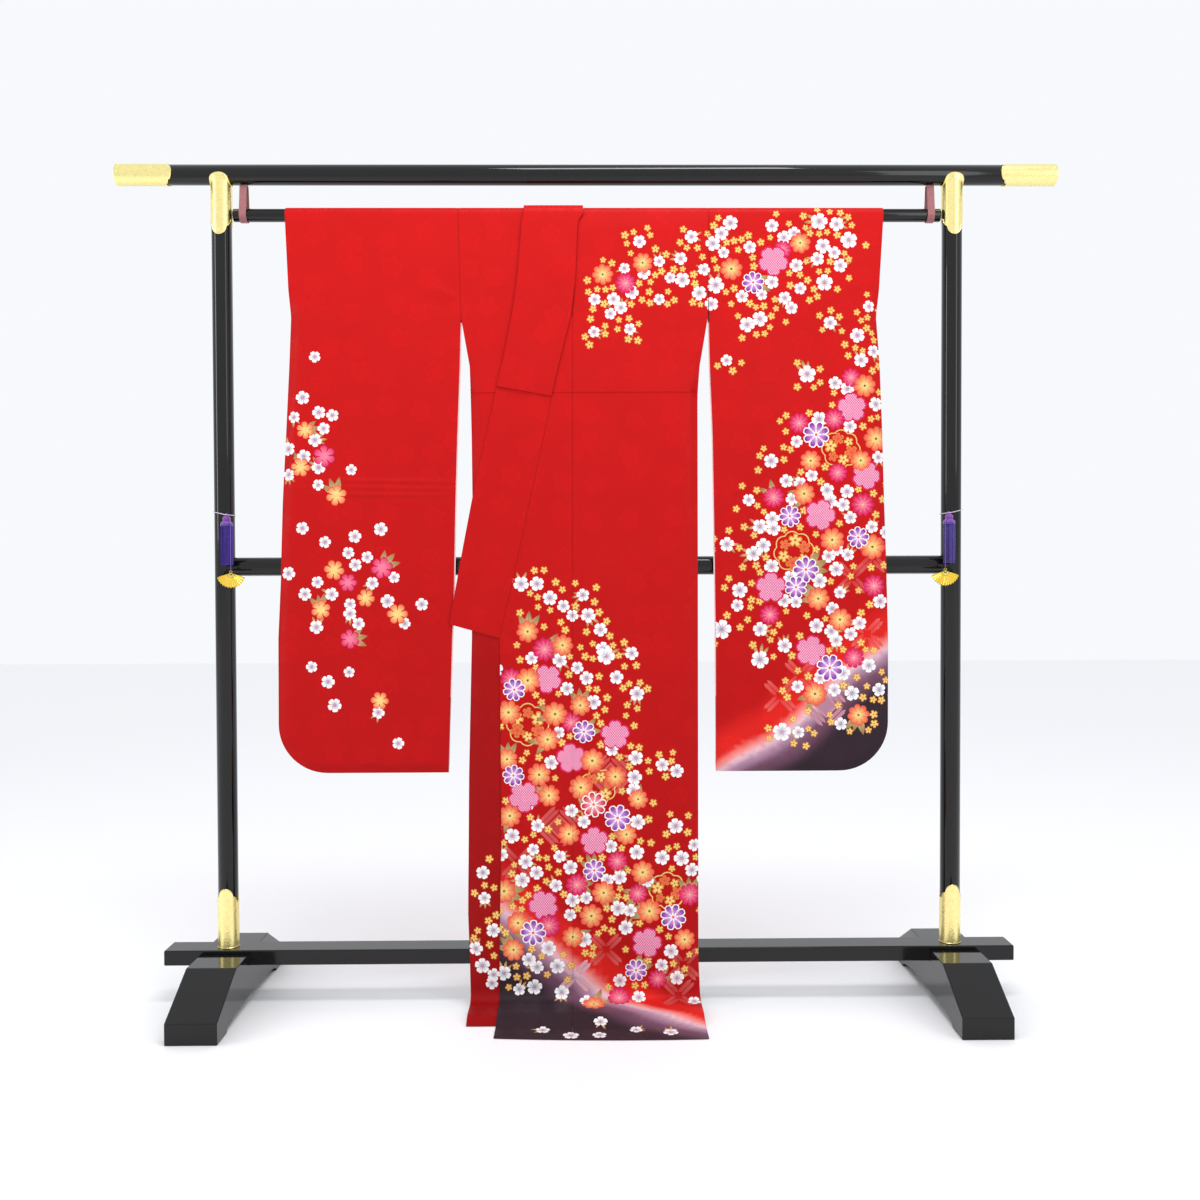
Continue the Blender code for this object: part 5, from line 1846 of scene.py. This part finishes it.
# How far past the tide line each colour comes, from the red side to the dark one
TIDE = ((-74.0, None), (-30.0, VERMILION), (-12.0, VERMILION), (2.0, CORAL_PINK), (13.0, BLUSH),
        (26.0, THISTLE), (46.0, HEATHER), (84.0, AUBERGINE))


# The tide lines' waver, the sleeve's side of the left half, and the painted shade under the left front
WAVER = 3.0
SLEEVE_START = 238.0
UNDER_SHADE = 0.74
UNDER_LEVELS = (650.0, 300.0)


def past_tide(tide, xs, ys):
    """Signed distance past a tide line, growing towards the dark side."""
    best = np.full(len(xs), 1e9)
    signed = np.zeros(len(xs))
    for (ax, ay), (bx, by) in zip(tide, tide[1:]):
        length = hypot(bx - ax, by - ay)
        ux, uy = (bx - ax) / length, (by - ay) / length
        along = np.clip((xs - ax) * ux + (ys - ay) * uy, 0, length)
        away = np.hypot(xs - ax - along * ux, ys - ay - along * uy)
        over = (xs - ax) * uy - (ys - ay) * ux
        signed = np.where(away < best, np.where(over > 0, away, -away), signed)
        best = np.minimum(away, best)
    return signed + WAVER * np.sin(xs / 47.0 + ys / 60.0)


def level_of(ys):
    """Heights of places on the front and on the back."""
    return np.where(ys > ROD_HEIGHT, behind(ys), ys)


def red_ground(_, ys):
    """The plain red, darker towards the foot as painted shade, on the front and on the back."""
    share = np.clip(level_of(ys) / 1500.0, 0, 1)[:, None]
    return np.array(RED_FOOT) * (1 - share) + np.array(RED_TOP) * share


def dyed_ground(tide, xs, ys):
    """Red that goes over to aubergine across a tide line."""
    reds = red_ground(xs, ys)
    past = past_tide(tide, xs, level_of(ys))
    colours = reds
    for (start, tone), (stop, deeper) in zip(TIDE, TIDE[1:]):
        first = reds if tone is None else np.array(tone)
        share = np.clip((past - start) / (stop - start), 0, 1)[:, None]
        share = share * share * (3 - 2 * share)
        colours = np.where((past > start)[:, None],
                           first * (1 - share) + np.array(deeper) * share, colours)
    return colours


def left_ground(xs, ys):
    """The left half: the sleeve has a tide of its own, and the back's hem mirrors the front's."""
    hem = dyed_ground(HEM_TIDE, np.where(ys > ROD_HEIGHT, -xs, xs), ys)
    return np.where((xs > SLEEVE_START)[:, None], dyed_ground(SLEEVE_TIDE, xs, ys), hem)


def right_ground(xs, ys):
    """The right body: its front lies under the left one, so only its back takes the dyed hem."""
    # Painted shade: the front is darker lower down, where the left front hangs over it
    lit = np.clip((ys - UNDER_LEVELS[0]) / UNDER_LEVELS[1], 0, 1)[:, None]
    shaded = UNDER_SHADE + (1 - UNDER_SHADE) * lit
    return np.where((ys > ROD_HEIGHT)[:, None], left_ground(xs, ys), shaded * red_ground(xs, ys))


# The front's motifs: kind, then spots (across, height) in centimetres, chosen one by one
SHOULDER = {
    "o": ((11, 144), (3, 142)),
    "m": ((7, 140),),
    "w": ((9, 148), (7, 143), (14, 144), (11, 141), (16, 141), (9, 138), (1, 137), (5, 137), (7, 135),
          (14, 137), (4, 134), (1, 131), (8, 131), (18, 145), (20, 149), (23, 143)),
    "W": ((24, 148), (25, 140)),
}
SKIRT = {
    "g": ((-12, 55), (1, 43), (15, 22)),
    "w": ((-10, 82), (-1, 80), (-7, 79), (-5, 78), (0, 76), (2, 73),
          (-11, 67), (-6, 67), (-4, 61), (-1, 64), (1, 59), (2, 69), (8, 69), (5, 64), (10, 61),
          (-6, 53), (-8, 47), (4, 50), (9, 48), (9, 45), (8, 42), (-12, 39), (-10, 35), (-15, 33),
          (-4, 38), (-1, 36), (9, 36), (14, 47), (17, 35), (4, 31), (-17, 30), (-11, 31), (-6, 29),
          (-10, 26), (-13, 24), (-7, 23), (-4, 27), (9, 30), (6, 25), (3, 25), (-4, 21), (-1, 21),
          (-4, 18), (14, 29), (20, 31), (19, 26), (11, 25), (5, 19), (8, 19), (7, 15), (-1, 13),
          (-8, 12), (-12, 9), (-10, 7), (-6, 8), (-17, 7), (-14, 3), (-6, 3), (14, 8), (17, 5),
          (16, 11), (5, 5), (10, 2), (-1, 1), (20, 1), (-9, -10), (-4, -12), (1, -12), (2, -7),
          (8, -10), (15, -11)),
    "W": ((4, 68), (18, 28)),
    "k": ((-8, 64), (4, 53), (-4, 49), (-13, 41), (1, 32), (-9, 20), (11, 12)),
    "m": ((-9, 69), (-16, 63), (-4, 55), (5, 28), (-3, 24), (9, 22), (19, 21), (-8, 16), (13, 5),
          (6, 2)),
    "o": ((-10, 45), (5, 45), (-2, 43), (-17, 22), (10, 26), (-12, 72), (-5, 71),
          (-12, 63), (-16, 57), (-7, 57), (-2, 58), (-8, 52), (-16, 48), (0, 47), (-8, 41),
          (9, 40), (-15, 37), (-4, 33), (7, 33), (2, 22), (11, 18), (18, 13),
          (0, 17), (-14, 17), (-4, 13), (-15, 11), (1, -1)),
    "r": ((1, 39),),
    "p": ((-14, 61), (-1, 53), (-14, 45), (5, 37), (1, 27), (16, 17), (-11, 14), (9, 7)),
}
SKIRT_LATTICE = ((-14, 28), (-6, 35), (3, 11), (-3, 6), (17, 2), (18, 8), (4, 45))
UNDER_SKIRT = {"w": ((-20, 21), (-19, 15), (-22, 11), (-21, 8), (-20, 4), (-19, 6), (-21, 26))}
LEFT_SLEEVE_TOP = {
    "w": ((26, 150), (26, 146), (35, 152), (38, 149), (40, 150), (32, 146), (40, 144), (36, 140),
          (38, 138), (41, 139), (30, 138), (34, 138), (39, 135), (48, 146), (55, 135), (47, 132),
          (24, 136), (27, 126)),
    "W": ((45, 152), (51, 148), (46, 140), (31, 132), (52, 131)),
    "m": ((38, 147),),
    "k": ((36, 144),),
    "o": ((41, 148), (29, 143)),
    "p": ((32, 140),),
}
LEFT_SLEEVE_SPOTS = {
    "g": ((49, 108), (40, 88)),
    "w": ((48, 121), (50, 119), (53, 125), (55, 117), (45, 114), (51, 112), (40, 110), (35, 106),
          (56, 106), (39, 102), (41, 101), (43, 103), (46, 100), (50, 100), (47, 98), (40, 98),
          (31, 98), (33, 93), (36, 94), (35, 92), (34, 89), (51, 95), (55, 93), (26, 89), (31, 87),
          (35, 85), (39, 83), (46, 87), (49, 88), (48, 85), (45, 82), (49, 80), (38, 78), (57, 91),
          (57, 79), (33, 73), (40, 78), (44, 74), (47, 73), (47, 77), (52, 74), (48, 71), (38, 70),
          (40, 62), (45, 64), (49, 64), (48, 61), (51, 60), (54, 66), (56, 61), (49, 54)),
    "W": ((42, 122), (29, 80), (26, 74), (33, 67), (37, 53)),
    "k": ((51, 116), (54, 103), (45, 95), (35, 81), (43, 69)),
    "m": ((51, 122), (47, 114), (41, 113), (48, 103), (36, 98), (53, 97), (55, 81), (35, 76),
          (51, 67)),
    "o": ((54, 120), (43, 106), (53, 106), (56, 110), (42, 99), (47, 90), (55, 89), (45, 79),
          (49, 75), (44, 60), (52, 57)),
    "p": ((44, 111), (39, 95), (53, 91), (42, 85), (40, 81), (47, 66)),
}
LEFT_SLEEVE_LATTICE = ((51, 83), (55, 87), (54, 72), (41, 64), (46, 58), (37, 60))
# The right sleeve's flowers are plainer: "s" and "n" are its orange and its magenta ones
RIGHT_SLEEVE_SPOTS = {
    "w": ((-53, 126), (-56, 118), (-57, 114), (-52, 115), (-49, 115), (-51, 112), (-53, 110),
          (-55, 107), (-58, 109), (-52, 104), (-58, 103), (-53, 101), (-45, 104), (-55, 93),
          (-51, 90), (-45, 91), (-40, 92), (-47, 88), (-43, 87), (-45, 86), (-58, 84), (-53, 82),
          (-55, 80), (-49, 80), (-42, 82), (-38, 83), (-39, 79), (-46, 78), (-47, 76), (-53, 74),
          (-44, 74), (-32, 78), (-35, 74), (-54, 66), (-47, 65), (-50, 63), (-49, 59), (-40, 57),
          (-37, 51)),
    "s": ((-55, 112), (-55, 105), (-49, 99), (-49, 85), (-43, 79), (-52, 77), (-37, 76), (-41, 60)),
    "n": ((-51, 107), (-46, 83), (-40, 85), (-46, 71)),
}


def mirrored(x, y):
    """The same spot on the back of the cut, on the other side."""
    return -x, behind(y)


def straight_behind(x, y):
    return x, behind(y)


# The camera: its turns in degrees, to the left, down and about its own axis, its place in metres,
# and its lens and sensor in millimetres
CAMERA_TURNS = (-0.608, 1.21, -0.187)
CAMERA_PLACE = (-0.00346, -2.31426, 0.83597)
LENS = 35.31
SENSOR = 36.0
# The lamps, in metres: place, what each looks at, its size and its power
LAMPS = {
    "overhead": ((0.3, -0.95, 3.3), (0, -0.1, 0.6), (1.6, 0.5), 32),
    "left": ((-2.7, -0.95, 1.3), (0.3, 0, 0.9), (0.4, 1.6), 13),
    "right": ((2.8, -2.6, 1.9), (0, 0, 0.9), (0.8, 2.6), 17),
}
SKY_STRENGTH = 1.04
FLOOR_REACH = 9000


def add_camera():
    yaw, pitch, roll = (radians(a) for a in CAMERA_TURNS)
    level_right = Vector((cos(yaw), sin(yaw), 0))
    level_ahead = Vector((-sin(yaw), cos(yaw), 0))
    ahead = cos(pitch) * level_ahead - sin(pitch) * Vector((0, 0, 1))
    lifted = sin(pitch) * level_ahead + cos(pitch) * Vector((0, 0, 1))
    right = level_right * cos(roll) + lifted * sin(roll)
    up = lifted * cos(roll) - level_right * sin(roll)
    camera = bpy.data.cameras.new("camera")
    camera.lens = LENS
    camera.sensor_width = SENSOR
    stand = add_object("camera", camera)
    rows = [(*row, place) for row, place in zip(zip(right, up, -ahead), CAMERA_PLACE)]
    stand.matrix_world = Matrix(rows + [(0, 0, 0, 1)])
    bpy.context.scene.camera = stand


def add_light(name, place, target, size, energy):
    light = bpy.data.lights.new(name, "AREA")
    light.shape = "RECTANGLE"
    light.size, light.size_y = size
    light.energy = energy
    lamp = add_object(name, light)
    lamp.location = place
    lamp.rotation_euler = (Vector(target) - Vector(place)).to_track_quat("-Z", "Y").to_euler()


def add_studio():
    material, tree, shader = blank("floor_paper", linear(247, 247, 249), 0.6)
    place = node(tree, "TexCoord").outputs["Object"]
    feed(tree, scaled(tree, noise(tree, place, 3.0, 4.0).outputs[0], 0.15, 0.5), shader, "Roughness")
    corners = [(x * FLOOR_REACH, y * FLOOR_REACH, 0) for x, y in ((-1, -1), (1, -1), (1, 1), (-1, 1))]
    add_mesh("floor", corners, [(0, 1, 2, 3)], material)
    world = bpy.data.worlds.new("studio")
    world.use_nodes = True
    sky = world.node_tree.nodes["Background"]
    sky.inputs[0].default_value = (*linear(243, 245, 248), 1.0)
    sky.inputs[1].default_value = SKY_STRENGTH
    bpy.context.scene.world = world
    for name, lamp in LAMPS.items():
        add_light(name, *lamp)


SIDES = ((-1, "left"), (1, "right"))
add_camera()
pale_cord = threaded("pale_cord", linear(206, 184, 206), 900.0)
violet_cord = threaded("violet_cord", linear(112, 74, 168), 900.0)
strings = {}
for side, word in SIDES:
    strings[word] = fan_string(f"string_{word}", side, violet_cord)
    show(strings[word][0], "pale_cord", f"fan_string_{word}")

add_studio()
lacquer = lacquered()
gilt = gilded("gilt_brass")
plain_gilt = gilded("gilt_fan", engraved=False)
webbing = threaded("strap_webbing", linear(158, 96, 98), 700.0)
tassel_silk = threaded("tassel_silk", linear(62, 28, 146), 1400.0, 0.5,
                       (0.9365, linear(118, 52, 158)))
BARS = (
    ("rail", "top_rail", RAIL_HEIGHT, RAIL_RADIUS, flat_end(-RAIL_END), flat_end(RAIL_END)),
    ("rail_middle", "middle_rail", MIDDLE_HEIGHT, MIDDLE_RADIUS,
     saddle_end(-POST_X, POST_RADIUS, 1), saddle_end(POST_X, POST_RADIUS, -1)),
    ("rod", "hanging_rod", ROD_HEIGHT, ROD_RADIUS, flat_end(-ROD_LENGTH / 2),
     flat_end(ROD_LENGTH / 2)),
)
for name, solid, height, radius, low, high in BARS:
    show(bar(name, "X", (0, 0, height), radius, low, high, lacquer), "black_lacquer", solid)
show(beam("beam", lacquer), "black_lacquer", "base_beam")
for side, word in SIDES:
    x = side * POST_X
    show(bar(f"upright_{word}", "Z", (x, 0, 0), POST_RADIUS, flat_end(BEAM_TOP + GAP),
             saddle_end(RAIL_HEIGHT, RAIL_RADIUS, -1), lacquer), "black_lacquer", f"post_{word}")
    show(foot(f"base_{word}", side, lacquer), "black_lacquer", f"foot_{word}")
    show(rail_cap(f"cap_{word}", side, gilt), "gilt_brass", f"rail_cap_{word}")
    show(fitting(f"shoulder_{word}", x, lambda a: TOP_LOW - TOP_LOBES * cusped(a),
                 lambda a: TOP_HIGH + TONGUES * lobe(a), gilt, TOP_NAILS),
         "gilt_brass", f"top_fitting_{word}")
    show(fitting(f"shoe_{word}", x, lambda a: BEAM_TOP + GAP,
                 lambda a: SHOE_HIGH + SHOE_LOBES * cusped(a), gilt, SHOE_NAILS),
         "gilt_brass", f"foot_fitting_{word}")
    show(strap(f"loop_{word}", side * STRAP_X, webbing), "strap_webbing", f"strap_{word}")
    show(tie_cord(f"tie_{word}", side, pale_cord), "pale_cord", f"tie_cord_{word}")
    show(tassel(f"silk_{word}", side, tassel_silk), "tassel_silk", f"tassel_{word}")
    leaf = show(fan(f"leaf_{word}", side, plain_gilt), "gilt_brass", f"fan_{word}")
    piece, route, length = strings[word]
    tuple(c * MM for c in route[0])

silk = woven("red_silk")
inside = woven("silk_back", linear(206, 150, 150))
lining = woven("pale_lining", linear(238, 196, 194))
RIGHT_HALF = (RIGHT_FRONT, front_y, RIGHT_FLOOR, 0.0)
LEFT_HALF = (LEFT_FRONT, over_front_y, LEFT_FLOOR, LEFT_HEM_BOW)
# Each piece of cloth: its name, the solid it stands for and its cut
CLOTH = (
    ("body_r", "body_right", body_sheet(*RIGHT_HALF, lambda u: (u, 0), right_back_depth,
                                        lambda layer: BACK_FLOOR[0], PLEAT_TIP_X)),
    ("body_l", "body_left", body_sheet(*LEFT_HALF, across_pleat, left_back_depth, pleat_floor,
                                       PLEAT_END, PRESSED_COLUMNS)),
    ("overlap_r", "overlap_right", overlap_sheet(RIGHT_COLLAR, RIGHT_OVERLAP, *RIGHT_HALF)),
    ("overlap_l", "overlap_left", overlap_sheet(LEFT_COLLAR, LEFT_OVERLAP, *LEFT_HALF)),
    ("collar_l", "collar_left", left_collar_sheet(COLLAR_FOOT, LAYER)),
    ("collar_r", "collar_right", right_collar_sheet()),
    ("collar_strip", "over_collar", left_collar_sheet(OVER_COLLAR_FOOT, LAYER + OVER_LAYER)),
    ("sleeve_r", "sleeve_right", sleeve_sheet(RIGHT_SLEEVE, RIGHT_SLEEVE_CREASES)),
    ("sleeve_l", "sleeve_left", sleeve_sheet(LEFT_SLEEVE, LEFT_SLEEVE_CREASES)),
    ("lining_r", "lining_right", lining_sheet(RIGHT_SLEEVE)),
    ("lining_l", "lining_left", lining_sheet(LEFT_SLEEVE)),
)
front = Field(11, left_ground)
front.lattices(SKIRT_LATTICE + LEFT_SLEEVE_LATTICE)
front.plant(SHOULDER, 0.9)
front.plant(LEFT_SLEEVE_TOP, 0.92)
front.sprinkle("y", 40, 0.92)
front.plant(SKIRT)
front.plant(LEFT_SLEEVE_SPOTS)
front.sprinkle("w", 24, 1.0, 5.0)
front.sprinkle("y", 380)
under = Field(12, right_ground)
under.plant(UNDER_SKIRT)
under.sprinkle("y", 10)
back = Field(13, left_ground, mirrored)
back.lattices(SKIRT_LATTICE)
back.plant(SHOULDER, 0.9)
back.plant(SKIRT)
back.sprinkle("y", 220)
left_back = Field(14, left_ground, straight_behind)
left_back.lattices(LEFT_SLEEVE_LATTICE)
left_back.plant(LEFT_SLEEVE_TOP, 0.92)
left_back.plant(LEFT_SLEEVE_SPOTS)
left_back.sprinkle("y", 150)
right = Field(15, red_ground)
right.plant(RIGHT_SLEEVE_SPOTS, 0.9)
right_back = Field(16, red_ground, straight_behind)
right_back.plant(RIGHT_SLEEVE_SPOTS, 0.9)
DESIGNS = {
    "body_r": (under.shapes() + back.shapes(), right_ground),
    "body_l": (front.shapes() + back.shapes(), left_ground),
    "overlap_r": (under.shapes(), right_ground),
    "overlap_l": (front.shapes(), left_ground),
    "sleeve_l": (front.shapes() + left_back.shapes(), left_ground),
    "sleeve_r": (right.shapes() + right_back.shapes(), red_ground),
}
for name, solid, sheet in CLOTH:
    lined = name in ("lining_r", "lining_l")
    flowers, ground = DESIGNS.get(name, ([], red_ground))
    piece = make_cloth(name, sheet, on_sheet(flowers, sheet), ground,
                       (lining, lining) if lined else (silk, inside))
    show(piece, "pale_lining" if lined else "red_silk", solid)
    length = (sheet.rows[-1] - sheet.rows[0]) * MM
    width = sheet.area() / length

bpy.context.scene.view_settings.view_transform = "Standard"
